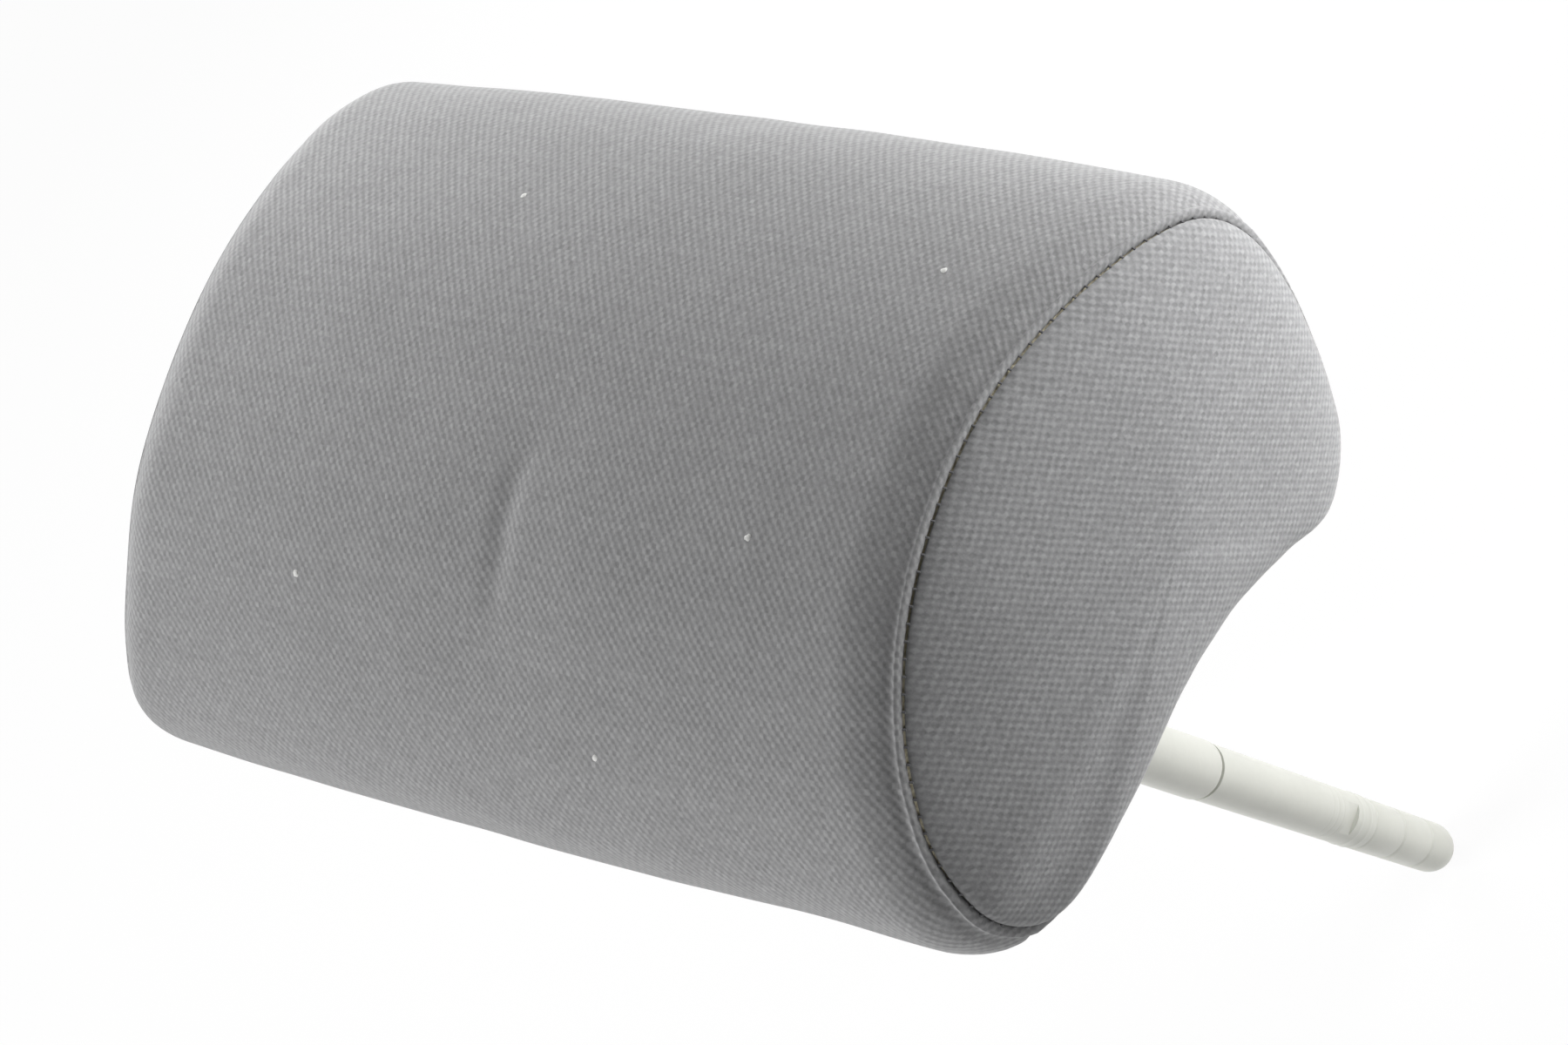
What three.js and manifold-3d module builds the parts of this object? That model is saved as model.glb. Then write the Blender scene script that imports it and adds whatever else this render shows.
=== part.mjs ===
// Rear seat headrest: a sewn fabric pad on two straight plastic covered posts.
// Millimetres, +Z up, -Y is the front of the seat. The origin lies midway between the two post axes,
// in the plane of the bezel faces that land on the seat's guides when the headrest is pushed down.

import * as THREE from 'three';
import { ParametricGeometry } from 'three/addons/geometries/ParametricGeometry.js';
import { mergeVertices } from 'three/addons/utils/BufferGeometryUtils.js';
import Module from 'manifold-3d';

const wasm = await Module();
wasm.setup();

// Clearance between pieces that touch or fit
const gap = 0.3;

// Side outline of the pad, at the side seams
const noseReach = 100.1;
const noseHeight = 30.2;
const crownHeight = 76.8;
const crownSetback = 19.8;
const rearReach = 45.2;
const rearHeight = 47;
const lobeDepth = 27.8;
const lobeSetback = 68.5;
const shelfHeight = 10.3;
const shelfSetback = 6.2;

// Width of the pad: half width at the foot of the outline, its swell, and how it narrows
const halfWidth = 125;
const lowerSwell = 10.6;
const crownNarrowing = 25.1;
const noseNarrowing = 3.1;

// Fullness of the main panel and of the side panels outside the seams
const rollHeight = 5.5;
const rollPower = 13;
const crownRise = 2.6;
const sideDome = 6.5;
const sideSag = 1.2;
const sidePower = 6;
const sideCrown = 2.5;

// Covers: face cloth with its laminated foam backing
const coverThickness = 3;

// Flat under the pad, where the cover is closed around the posts
const flapLength = 184;
const flapWidth = 33;
const flapCorner = 3;
const stripWidth = 5;
const stripRound = 1;
const flatMargin = 1.6;
const flatFade = 17;

// Posts
const postSpacing = 124;
const barRadius = 4;
const barBend = 18;
const barHeight = 38;
const sleeveTopRadius = 7.1;
const sleeveEndRadius = 6.85;
const sleeveEndDepth = 94.1;
const sleeveRim = 0.8;
const sleeveFlange = 1.5;
const sleeveFlangeHeight = 3;
const endTopRadius = 6.6;
const endFootRadius = 5.95;
const endDepth = 196;
const tipFlatRadius = 2.2;
const tipHeight = 6;
const endBoreMargin = 12;
const notchDepth = 148.1;
const notchHeight = 4.2;
const notchCut = 1.2;
const ringGrooves = 3;
const ringFirstDepth = 158.5;
const ringPitch = 12.3;
const ringWidth = 1.5;
const ringCut = 0.5;

// Bezels where the posts leave the pad
const bezelRadius = 13;
const bezelThickness = 3;
const bezelRound = 1;
const bezelWall = 1.8;
const bezelNeck = 10.5;

// Carrier: two moulded halves around the steel bar
const carrierLength = 170;
const carrierDepth = 28;
const carrierHeight = 53;
const carrierCorner = 9;
const carrierWall = 2.5;
const flangeWidth = 44;
const flangeThickness = 2.5;
const ribOffset = 30;
const ribThickness = 4;
const bossRadius = 4.6;
const bossOffset = 42;
const bossLow = 18;
const bossHigh = 51;
const screwRadius = 1.9;
const screwHeadRadius = 3.6;
const screwHeadHeight = 2.6;
const screwLength = 21;
const screwTip = 2;

// Mesh density
const aroundSteps = 48;
const panelSteps = 12;
const insideSteps = 10;
const sideSteps = 5;
const roundSides = 20;
const barSteps = 72;

// Levels worked out from the sizes above
const flapFace = bezelThickness + gap;
const flapBack = flapFace + coverThickness;
const carrierBase = flapBack + gap;
const carrierTop = carrierBase + carrierHeight;
const neckTop = bezelThickness + bezelNeck;
const sleeveTop = neckTop + gap + sleeveFlangeHeight;
const barBore = barRadius + gap;
const flapHole = sleeveTopRadius + gap + bezelWall + gap;
const cutHalfWidth = flapWidth / 2 + gap + stripWidth + gap;
const cutHalfLength = flapLength / 2 + gap;
const postSides = [['left', -postSpacing / 2], ['right', postSpacing / 2]];

const clothGrey = { color: 0x7f8083, roughness: 0.95, metalness: 0 };
const sideGrey = { color: 0x86878a, roughness: 0.95, metalness: 0 };
const plasticGrey = { color: 0xc6c6bd, roughness: 0.45, metalness: 0 };
const foamCream = { color: 0xd9cfae, roughness: 1, metalness: 0 };
const carrierBlack = { color: 0x2a2b2d, roughness: 0.7, metalness: 0 };
const steel = { color: 0x8f9296, roughness: 0.4, metalness: 1 };

// Geometry helpers

function merged(geometry) {
  const bare = geometry.index ? geometry.toNonIndexed() : geometry.clone();
  bare.deleteAttribute('normal');
  bare.deleteAttribute('uv');
  const joined = mergeVertices(bare, 1e-4);
  const source = joined.index.array;
  const kept = [];
  for (let i = 0; i < source.length; i += 3) {
    const [a, b, c] = [source[i], source[i + 1], source[i + 2]];
    if (a !== b && b !== c && c !== a) kept.push(a, b, c);
  }
  joined.setIndex(kept);
  return joined;
}

function signedVolume(geometry) {
  const position = geometry.attributes.position;
  const corners = [new THREE.Vector3(), new THREE.Vector3(), new THREE.Vector3()];
  let sum = 0;
  for (let i = 0; i < geometry.index.count; i += 3) {
    corners.forEach((corner, k) => corner.fromBufferAttribute(position, geometry.index.getX(i + k)));
    sum += corners[0].dot(corners[1].cross(corners[2]));
  }
  return sum;
}

// A closed geometry as a solid, turned so that its faces point out
function solid(geometry) {
  const closed = merged(geometry);
  if (signedVolume(closed) < 0) closed.index.array.reverse();
  return new wasm.Manifold(new wasm.Mesh({
    numProp: 3,
    vertProperties: new Float32Array(closed.attributes.position.array),
    triVerts: new Uint32Array(closed.index.array),
  }));
}

function geometryOf(manifold) {
  const mesh = manifold.getMesh();
  const geometry = new THREE.BufferGeometry();
  geometry.setAttribute('position', new THREE.BufferAttribute(new Float32Array(mesh.vertProperties), 3));
  geometry.setIndex(new THREE.BufferAttribute(new Uint32Array(mesh.triVerts), 1));
  geometry.computeVertexNormals();
  return geometry;
}

function block(lowX, highX, lowY, highY, lowZ, highZ) {
  const geometry = new THREE.BoxGeometry(highX - lowX, highY - lowY, highZ - lowZ);
  geometry.translate((lowX + highX) / 2, (lowY + highY) / 2, (lowZ + highZ) / 2);
  return solid(geometry);
}

function rodAlongZ(radius, lowZ, highZ, x, y) {
  const geometry = new THREE.CylinderGeometry(radius, radius, highZ - lowZ, roundSides);
  geometry.rotateX(Math.PI / 2);
  geometry.translate(x, y, (lowZ + highZ) / 2);
  return solid(geometry);
}

function rodAlongY(radius, lowY, highY, x, z) {
  const geometry = new THREE.CylinderGeometry(radius, radius, highY - lowY, roundSides);
  geometry.translate(x, (lowY + highY) / 2, z);
  return solid(geometry);
}

function rodAlongX(radius, lowX, highX, y, z) {
  const geometry = new THREE.CylinderGeometry(radius, radius, highX - lowX, roundSides);
  geometry.rotateZ(Math.PI / 2);
  geometry.translate((lowX + highX) / 2, y, z);
  return solid(geometry);
}

// A lathe about the Z axis from a profile of [radius, z] points
function lathed(profile) {
  const points = profile.map(([radius, z]) => new THREE.Vector2(radius, z));
  const geometry = new THREE.LatheGeometry(points, roundSides);
  geometry.rotateX(Math.PI / 2);
  return geometry;
}

function roundedRectangle(width, height, corner) {
  const [w, h] = [width / 2, height / 2];
  const shape = new THREE.Shape();
  shape.moveTo(-w + corner, -h);
  shape.lineTo(w - corner, -h);
  shape.absarc(w - corner, -h + corner, corner, -Math.PI / 2, 0);
  shape.lineTo(w, h - corner);
  shape.absarc(w - corner, h - corner, corner, 0, Math.PI / 2);
  shape.lineTo(-w + corner, h);
  shape.absarc(-w + corner, h - corner, corner, Math.PI / 2, Math.PI);
  shape.lineTo(-w, -h + corner);
  shape.absarc(-w + corner, -h + corner, corner, Math.PI, 1.5 * Math.PI);
  return shape;
}

// Side outline: nose, crown, rear edge, shelf at the posts and the lobe that hangs in front

const outlinePoints = [
  [-noseReach, noseHeight],
  [-noseReach + 7.2, noseHeight + 12.1],
  [-noseReach + 26, crownHeight - 18.4],
  [-crownSetback - 28.7, crownHeight - 5.3],
  [-crownSetback, crownHeight],
  [-crownSetback + 25, crownHeight - 2.1],
  [rearReach - 10.7, rearHeight + 14],
  [rearReach, rearHeight],
  [rearReach - 1.6, rearHeight - 17],
  [rearReach - 21.2, shelfHeight + 9.8],
  [-shelfSetback, shelfHeight],
  [-shelfSetback - 19.5, shelfHeight - 10.5],
  [-lobeSetback + 27.3, -lobeDepth + 13.2],
  [-lobeSetback + 14.8, -lobeDepth - 0.3],
  [-lobeSetback, -lobeDepth],
  [-lobeSetback - 18.8, -lobeDepth + 19.8],
  [-noseReach + 0.1, noseHeight - 14.1],
].map(([y, z]) => new THREE.Vector3(0, y, z));
const outline = new THREE.CatmullRomCurve3(outlinePoints, true, 'centripetal');
outline.arcLengthDivisions = 1200;

const rim = Array.from({ length: aroundSteps }, (_, i) => {
  const point = outline.getPointAt(i / aroundSteps);
  const tangent = outline.getTangentAt(i / aroundSteps);
  return { y: point.y, z: point.z, outY: -tangent.z, outZ: tangent.y };
});
const rimAt = (u) => rim[Math.round(u * aroundSteps) % aroundSteps];
const rimCentreY = rim.reduce((sum, point) => sum + point.y, 0) / aroundSteps;
const rimCentreZ = rim.reduce((sum, point) => sum + point.z, 0) / aroundSteps;
const rimHeight = crownHeight + lobeDepth;

// Half width of the pad at the side seam, over a place in the outline
function seamHalfWidth(y, z) {
  const rise = (z + lobeDepth) / rimHeight;
  const forward = (rimCentreY - y) / (noseReach + rimCentreY);
  return halfWidth + lowerSwell * rise - crownNarrowing * rise * rise - noseNarrowing * forward;
}

function smooth(value) {
  const t = Math.min(Math.max(value, 0), 1);
  return t * t * (3 - 2 * t);
}

// Pulls the underside to a level face around the posts, where the cover is closed
function levelled(x, y, z, downwards, level) {
  const alongX = smooth((cutHalfLength + flatMargin + flatFade - Math.abs(x)) / flatFade);
  const alongY = smooth((cutHalfWidth + flatMargin + flatFade - Math.abs(y)) / flatFade);
  const under = smooth((downwards - 0.2) / 0.4);
  return z + (level - z) * alongX * alongY * under;
}

// A point of the main panel's surface: share runs from -1 at one side seam to 1 at the other
function panelPoint(u, share, inset, endInset, target) {
  const place = rimAt(u);
  const seamX = seamHalfWidth(place.y, place.z);
  const x = share * (seamX - endInset);
  const across = Math.abs(x / seamX);
  const roll = rollHeight * Math.sqrt(Math.max(1 - across ** rollPower, 0));
  const offset = roll + crownRise * (1 - across * across) - inset;
  const y = place.y + place.outY * offset;
  const z = place.z + place.outZ * offset;
  target.set(x, y, levelled(x, y, z, -place.outZ, flapFace + inset));
}

// A point of a side panel's face: reach runs from 0 at the middle to 1 at the seam
function sidePoint(u, reach, side, inset, rimInset, target) {
  const place = rimAt(u);
  const y = rimCentreY + (place.y - place.outY * rimInset - rimCentreY) * reach;
  const z = rimCentreZ + (place.z - place.outZ * rimInset - rimCentreZ) * reach;
  const middle = seamHalfWidth(rimCentreY, rimCentreZ);
  const edge = seamHalfWidth(place.y, place.z);
  const depth = sideDome - sideSag * place.outZ * reach * reach;
  const dome = depth * Math.sqrt(1 - reach ** sidePower) + sideCrown * (1 - reach * reach);
  target.set(side * (middle + (edge - middle) * reach + dome - inset), y, z);
}

const easedShare = (t) => Math.sin((t - 0.5) * Math.PI);
const easedReach = (t) => Math.sin(t * Math.PI / 2);

// Covers

function mainPanelGeometry() {
  const steps = panelSteps + insideSteps;
  const endInset = coverThickness + gap;
  const ring = new ParametricGeometry((u, v, target) => {
    const station = Math.round(v * (steps + 2));
    if (station <= panelSteps) {
      panelPoint(u, easedShare(station / panelSteps), 0, endInset, target);
    } else if (station < steps + 2) {
      const inner = (station - panelSteps - 1) / insideSteps;
      panelPoint(u, -easedShare(inner), coverThickness, endInset, target);
    } else {
      panelPoint(u, -1, 0, endInset, target);
    }
  }, aroundSteps, steps + 2);
  const opening = block(
    -cutHalfLength, cutHalfLength, -cutHalfWidth, cutHalfWidth,
    flapFace - rimHeight, flapBack + coverThickness,
  );
  return geometryOf(solid(ring).subtract(opening));
}

function sidePanelGeometry(side) {
  const steps = 2 * sideSteps + 1;
  const dish = new ParametricGeometry((u, v, target) => {
    const step = Math.round(v * steps);
    const station = side < 0 ? step : steps - step;
    if (station <= sideSteps) {
      sidePoint(u, easedReach(station / sideSteps), side, 0, 0, target);
    } else {
      sidePoint(u, easedReach((steps - station) / sideSteps), side, coverThickness, 0, target);
    }
  }, aroundSteps, steps);
  return geometryOf(solid(dish));
}

// The flap under the pad, with a hole for each post
function flapGeometry() {
  const shape = roundedRectangle(flapLength, flapWidth, flapCorner);
  for (const [, x] of postSides) {
    const hole = new THREE.Path();
    hole.absarc(x, 0, flapHole, 0, 2 * Math.PI, true);
    shape.holes.push(hole);
  }
  const geometry = new THREE.ExtrudeGeometry(shape, {
    depth: coverThickness, bevelEnabled: false, curveSegments: roundSides / 2,
  });
  geometry.translate(0, 0, flapFace);
  return geometryOf(solid(geometry));
}

// A closing strip that holds the cover's edge beside the flap
function stripGeometry(side) {
  const middle = side * (flapWidth / 2 + gap + stripWidth / 2);
  const section = roundedRectangle(coverThickness, stripWidth, stripRound);
  const geometry = new THREE.ExtrudeGeometry(section, {
    depth: flapLength, bevelEnabled: false, curveSegments: 3,
  });
  geometry.rotateY(Math.PI / 2);
  geometry.translate(-flapLength / 2, middle, flapFace + coverThickness / 2);
  return geometryOf(solid(geometry));
}

// Foam pad, open below for the carrier

function foamGeometry() {
  const skin = coverThickness + gap;
  const steps = 2 * sideSteps + insideSteps;
  const body = new ParametricGeometry((u, v, target) => {
    const station = Math.round(v * steps);
    if (station < sideSteps) {
      sidePoint(u, easedReach(station / sideSteps), 1, skin, gap, target);
    } else if (station <= sideSteps + insideSteps) {
      panelPoint(u, -easedShare((station - sideSteps) / insideSteps), skin, skin, target);
    } else {
      sidePoint(u, easedReach((steps - station) / sideSteps), -1, skin, gap, target);
    }
  }, aroundSteps, steps);
  const halfLength = carrierLength / 2 + gap;
  const halfDepth = carrierDepth / 2 + gap;
  const pocket = block(-halfLength, halfLength, -halfDepth, halfDepth, 0, carrierTop + gap);
  const flangeX = flapLength / 2 + gap;
  const flangeY = flangeWidth / 2 + gap;
  const recess = block(-flangeX, flangeX, -flangeY, flangeY, 0, carrierBase + flangeThickness + gap);
  return geometryOf(solid(body).subtract(pocket).subtract(recess));
}

// Carrier halves: a shell with a base flange, ribs that grip the bar and four screw bosses

function carrierHalfGeometry(side) {
  const depth = carrierDepth / 2;
  const low = (near, far) => (side < 0 ? -far : near);
  const high = (near, far) => (side < 0 ? -near : far);
  const slab = (x0, x1, near, far, z0, z1) => block(x0, x1, low(near, far), high(near, far), z0, z1);
  const extruded = (length, height, corner, near, far) => {
    const geometry = new THREE.ExtrudeGeometry(roundedRectangle(length, height, corner), {
      depth: far - near, bevelEnabled: false, curveSegments: 4,
    });
    geometry.rotateX(Math.PI / 2);
    geometry.translate(0, high(near, far), carrierBase + carrierHeight / 2);
    return solid(geometry);
  };
  const split = gap / 2;
  const innerLength = carrierLength - 2 * carrierWall;
  const innerHeight = carrierHeight - 2 * carrierWall;
  const innerCorner = carrierCorner - carrierWall;
  let half = extruded(carrierLength, carrierHeight, carrierCorner, split, depth);
  half = half.subtract(extruded(innerLength, innerHeight, innerCorner, -split, depth - carrierWall));
  const flange = slab(
    -flapLength / 2, flapLength / 2, split, flangeWidth / 2,
    carrierBase, carrierBase + flangeThickness,
  );
  half = half.add(flange);
  for (const x of [-ribOffset, ribOffset]) {
    const rib = slab(
      x - ribThickness / 2, x + ribThickness / 2, split, depth - carrierWall / 2,
      carrierBase + flangeThickness / 2, carrierTop - carrierWall / 2,
    );
    half = half.add(rib);
  }
  const bosses = [-bossOffset, bossOffset].flatMap((x) => [[x, bossLow], [x, bossHigh]]);
  for (const [x, z] of bosses) {
    const wall = depth - carrierWall / 2;
    half = half.add(rodAlongY(bossRadius, low(split, wall), high(split, wall), x, z));
  }
  half = half.subtract(rodAlongX(barBore, -innerLength / 2, innerLength / 2, 0, barHeight));
  for (const [x, z] of bosses) {
    half = half.subtract(rodAlongY(
      screwRadius + gap, screwSeat() - screwLength - gap, depth + gap, x, z,
    ));
    half = half.subtract(rodAlongY(screwHeadRadius + gap, screwSeat(), depth + gap, x, z));
  }
  for (const [, x] of postSides) {
    half = half.subtract(rodAlongZ(flapHole, carrierBase - gap, neckTop + gap, x, 0));
  }
  return geometryOf(half);
}

// Depth at which the screw heads sit in the rear half
function screwSeat() {
  return carrierDepth / 2 - screwHeadHeight - 2 * gap;
}

function screwGeometry() {
  return geometryOf(solid(lathed([
    [0, -screwLength],
    [screwRadius * 0.5, -screwLength],
    [screwRadius, -screwLength + screwTip],
    [screwRadius, gap],
    [screwHeadRadius, gap],
    [screwHeadRadius, gap + screwHeadHeight * 0.6],
    [screwHeadRadius * 0.7, gap + screwHeadHeight],
    [0, gap + screwHeadHeight],
  ])));
}

// Steel bar bent to a U, its legs inside the posts

// A quarter turn in the XZ plane, clockwise from its starting angle
class QuarterBend extends THREE.Curve {
  constructor(centreX, centreZ, startAngle) {
    super();
    this.centreX = centreX;
    this.centreZ = centreZ;
    this.startAngle = startAngle;
  }

  getPoint(t, target = new THREE.Vector3()) {
    const angle = this.startAngle - t * Math.PI / 2;
    const x = this.centreX + barBend * Math.cos(angle);
    return target.set(x, 0, this.centreZ + barBend * Math.sin(angle));
  }
}

function barGeometry() {
  const half = postSpacing / 2;
  const foot = -(endDepth - endBoreMargin) + gap;
  const bendFoot = barHeight - barBend;
  const beamEnd = half - barBend;
  const path = new THREE.CurvePath();
  const point = (x, z) => new THREE.Vector3(x, 0, z);
  path.add(new THREE.LineCurve3(point(-half, foot), point(-half, bendFoot)));
  path.add(new QuarterBend(-beamEnd, bendFoot, Math.PI));
  path.add(new THREE.LineCurve3(point(-beamEnd, barHeight), point(beamEnd, barHeight)));
  path.add(new QuarterBend(beamEnd, bendFoot, Math.PI / 2));
  path.add(new THREE.LineCurve3(point(half, bendFoot), point(half, foot)));
  const section = new THREE.Shape();
  section.absarc(0, 0, barRadius, 0, 2 * Math.PI);
  const geometry = new THREE.ExtrudeGeometry(section, {
    steps: barSteps, bevelEnabled: false, curveSegments: 5, extrudePath: path,
  });
  return geometryOf(solid(geometry));
}

// Post sleeve: the plain upper stretch of a post, from the bezel down to the joint ring

function sleeveGeometry() {
  const foot = -sleeveEndDepth;
  const flangeFoot = neckTop + gap;
  return geometryOf(solid(lathed([
    [barBore, foot],
    [sleeveEndRadius - sleeveRim, foot],
    [sleeveEndRadius - sleeveRim * 0.3, foot + sleeveRim * 0.3],
    [sleeveEndRadius, foot + sleeveRim],
    [sleeveTopRadius, flangeFoot],
    [sleeveTopRadius + sleeveFlange, flangeFoot],
    [sleeveTopRadius + sleeveFlange, sleeveTop],
    [barBore, sleeveTop],
    [barBore, foot],
  ])));
}

// Post end: the lower stretch with the latch notch, ring grooves and domed tip

function endGeometry(side) {
  const top = -sleeveEndDepth - gap;
  const foot = -endDepth;
  const domeTop = foot + tipHeight;
  const radiusAt = (z) => {
    const share = (top - z) / (top - domeTop);
    return endTopRadius + (endFootRadius - endTopRadius) * share;
  };
  const profile = [[0, foot], [tipFlatRadius, foot]];
  for (const turn of [0.25, 0.5, 0.75]) {
    const angle = turn * Math.PI / 2;
    profile.push([
      tipFlatRadius + (endFootRadius - tipFlatRadius) * Math.sin(angle),
      domeTop - tipHeight * Math.cos(angle),
    ]);
  }
  profile.push([endFootRadius, domeTop]);
  for (let i = ringGrooves - 1; i >= 0; i -= 1) {
    const middle = -(ringFirstDepth + i * ringPitch);
    profile.push([radiusAt(middle - ringWidth / 2), middle - ringWidth / 2]);
    profile.push([radiusAt(middle) - ringCut, middle - ringWidth / 4]);
    profile.push([radiusAt(middle) - ringCut, middle + ringWidth / 4]);
    profile.push([radiusAt(middle + ringWidth / 2), middle + ringWidth / 2]);
  }
  profile.push([endTopRadius, top], [barBore, top]);
  profile.push([barBore, foot + endBoreMargin], [0, foot + endBoreMargin]);
  const floor = radiusAt(-notchDepth) - notchCut;
  const reach = endTopRadius + gap;
  const notch = block(
    side < 0 ? -reach : floor, side < 0 ? -floor : reach, -reach, reach,
    -notchDepth - notchHeight / 2, -notchDepth + notchHeight / 2,
  );
  return geometryOf(solid(lathed(profile)).subtract(notch));
}

// Bezel: flange under the flap and a neck up into the carrier

function bezelGeometry() {
  const bore = sleeveTopRadius + gap;
  const neck = bore + bezelWall;
  return geometryOf(solid(lathed([
    [bore, 0],
    [bezelRadius - bezelRound, 0],
    [bezelRadius - bezelRound * 0.3, bezelRound * 0.3],
    [bezelRadius, bezelRound],
    [bezelRadius, bezelThickness],
    [neck, bezelThickness],
    [neck, neckTop],
    [bore, neckTop],
    [bore, 0],
  ])));
}

// Assembly

const headrest = new THREE.Group();

function place(name, geometry, finish, x = 0, y = 0, z = 0) {
  const mesh = new THREE.Mesh(geometry, new THREE.MeshStandardMaterial(finish));
  mesh.name = name;
  mesh.position.set(x, y, z);
  headrest.add(mesh);
  return mesh;
}

place('foam_pad', foamGeometry(), foamCream);
place('cover_main_panel', mainPanelGeometry(), clothGrey);
place('cover_side_left', sidePanelGeometry(-1), sideGrey);
place('cover_side_right', sidePanelGeometry(1), sideGrey);
place('cover_underside_flap', flapGeometry(), clothGrey);
place('closing_strip_front', stripGeometry(-1), carrierBlack);
place('closing_strip_rear', stripGeometry(1), carrierBlack);
place('carrier_front_half', carrierHalfGeometry(-1), carrierBlack);
place('carrier_rear_half', carrierHalfGeometry(1), carrierBlack);
place('steel_bar', barGeometry(), steel);

for (const [sideName, x] of postSides) {
  place(`post_bezel_${sideName}`, bezelGeometry(), plasticGrey, x);
  place(`post_sleeve_${sideName}`, sleeveGeometry(), plasticGrey, x);
  place(`post_end_${sideName}`, endGeometry(Math.sign(x)), plasticGrey, x);
  for (const [levelName, z] of [['lower', bossLow], ['upper', bossHigh]]) {
    const screwX = Math.sign(x) * bossOffset;
    const screw = place(`carrier_screw_${levelName}_${sideName}`, screwGeometry(), steel, screwX, screwSeat(), z);
    screw.rotation.x = -Math.PI / 2;
  }
}

export default headrest;
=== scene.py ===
"""Looks of a rear seat headrest: sewn grey cloth over foam, on two light grey plastic covered posts."""

import math

import bmesh
import bpy
from mathutils import Matrix, Vector, kdtree, noise


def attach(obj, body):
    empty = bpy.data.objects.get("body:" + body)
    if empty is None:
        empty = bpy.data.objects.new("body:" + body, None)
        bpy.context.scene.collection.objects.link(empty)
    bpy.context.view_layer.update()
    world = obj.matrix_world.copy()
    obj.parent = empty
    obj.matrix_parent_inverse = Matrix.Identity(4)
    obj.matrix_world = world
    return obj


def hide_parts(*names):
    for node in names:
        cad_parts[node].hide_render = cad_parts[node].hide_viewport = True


bl_info = {
    "name": "Rear Seat Headrest",
    "version": (1, 0, 0),
    "blender": (4, 5, 0),
    "location": "View3D > Sidebar > Headrest",
    "description": "Dresses the packed headrest: cloth covers, seams, posts, and a plain studio",
    "category": "Object",
}

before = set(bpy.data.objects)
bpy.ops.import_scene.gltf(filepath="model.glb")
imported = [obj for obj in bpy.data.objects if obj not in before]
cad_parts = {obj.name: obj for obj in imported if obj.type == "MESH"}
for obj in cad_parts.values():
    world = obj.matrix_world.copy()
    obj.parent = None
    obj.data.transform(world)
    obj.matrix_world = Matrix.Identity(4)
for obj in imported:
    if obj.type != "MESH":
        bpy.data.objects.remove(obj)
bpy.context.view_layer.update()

BODY = "root"
MM = 0.001
TURN = 2 * math.pi

# Side outline of the pad at its seams, y and z in millimetres, from the nose over the crown
OUTLINE = [
    (-100.1, 30.2), (-92.9, 42.3), (-74.1, 58.4), (-48.5, 71.5), (-19.8, 76.8), (5.2, 74.7),
    (34.5, 61.0), (45.2, 47.0), (43.6, 30.0), (24.0, 20.1), (-6.2, 10.3), (-25.7, -0.2),
    (-41.2, -14.6), (-53.7, -28.1), (-68.5, -27.8), (-87.3, -8.0), (-100.0, 16.1),
]
CROWN_HEIGHT = 76.8
LOBE_DEPTH = 27.8
NOSE_REACH = 100.1

# Half width of the pad at its foot, its swell and how it narrows, in millimetres
HALF_WIDTH = 124.4
LOWER_SWELL = 10.6
CROWN_NARROWING = 25.1
NOSE_NARROWING = 3.1

# Where a seam swells out or draws in: its place on the outline, by how much, and over what reach
SEAM_WAVES = [
    ((37.0, 58.0), -0.6, 9.0), ((22.0, 68.0), -1.4, 17.0), ((44.0, 50.0), 0.9, 9.0),
    ((46.0, 36.0), -1.2, 9.0), ((-93.0, 42.0), 0.7, 26.0),
]

# The level place under the pad where the cover is closed round the posts
FLAP_FACE = 3.3
FLAP_LENGTH = 184.0
FLAP_WIDTH = 33.0
STRIP_WIDTH = 5.0
CLEARANCE = 0.3
CUT_HALF_LENGTH = FLAP_LENGTH / 2 + CLEARANCE
CUT_HALF_WIDTH = FLAP_WIDTH / 2 + STRIP_WIDTH + 2 * CLEARANCE
FLAT_MARGIN = 1.6
FLAT_FADE = 17.0
FLAT_TURN_START = 0.2
FLAT_TURN_FADE = 0.4

# Posts, in millimetres below the bezel faces
POST_X = 62.0
SLEEVE_TOP = 16.8
SLEEVE_FOOT = -94.1
END_FOOT = -196.0


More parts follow.
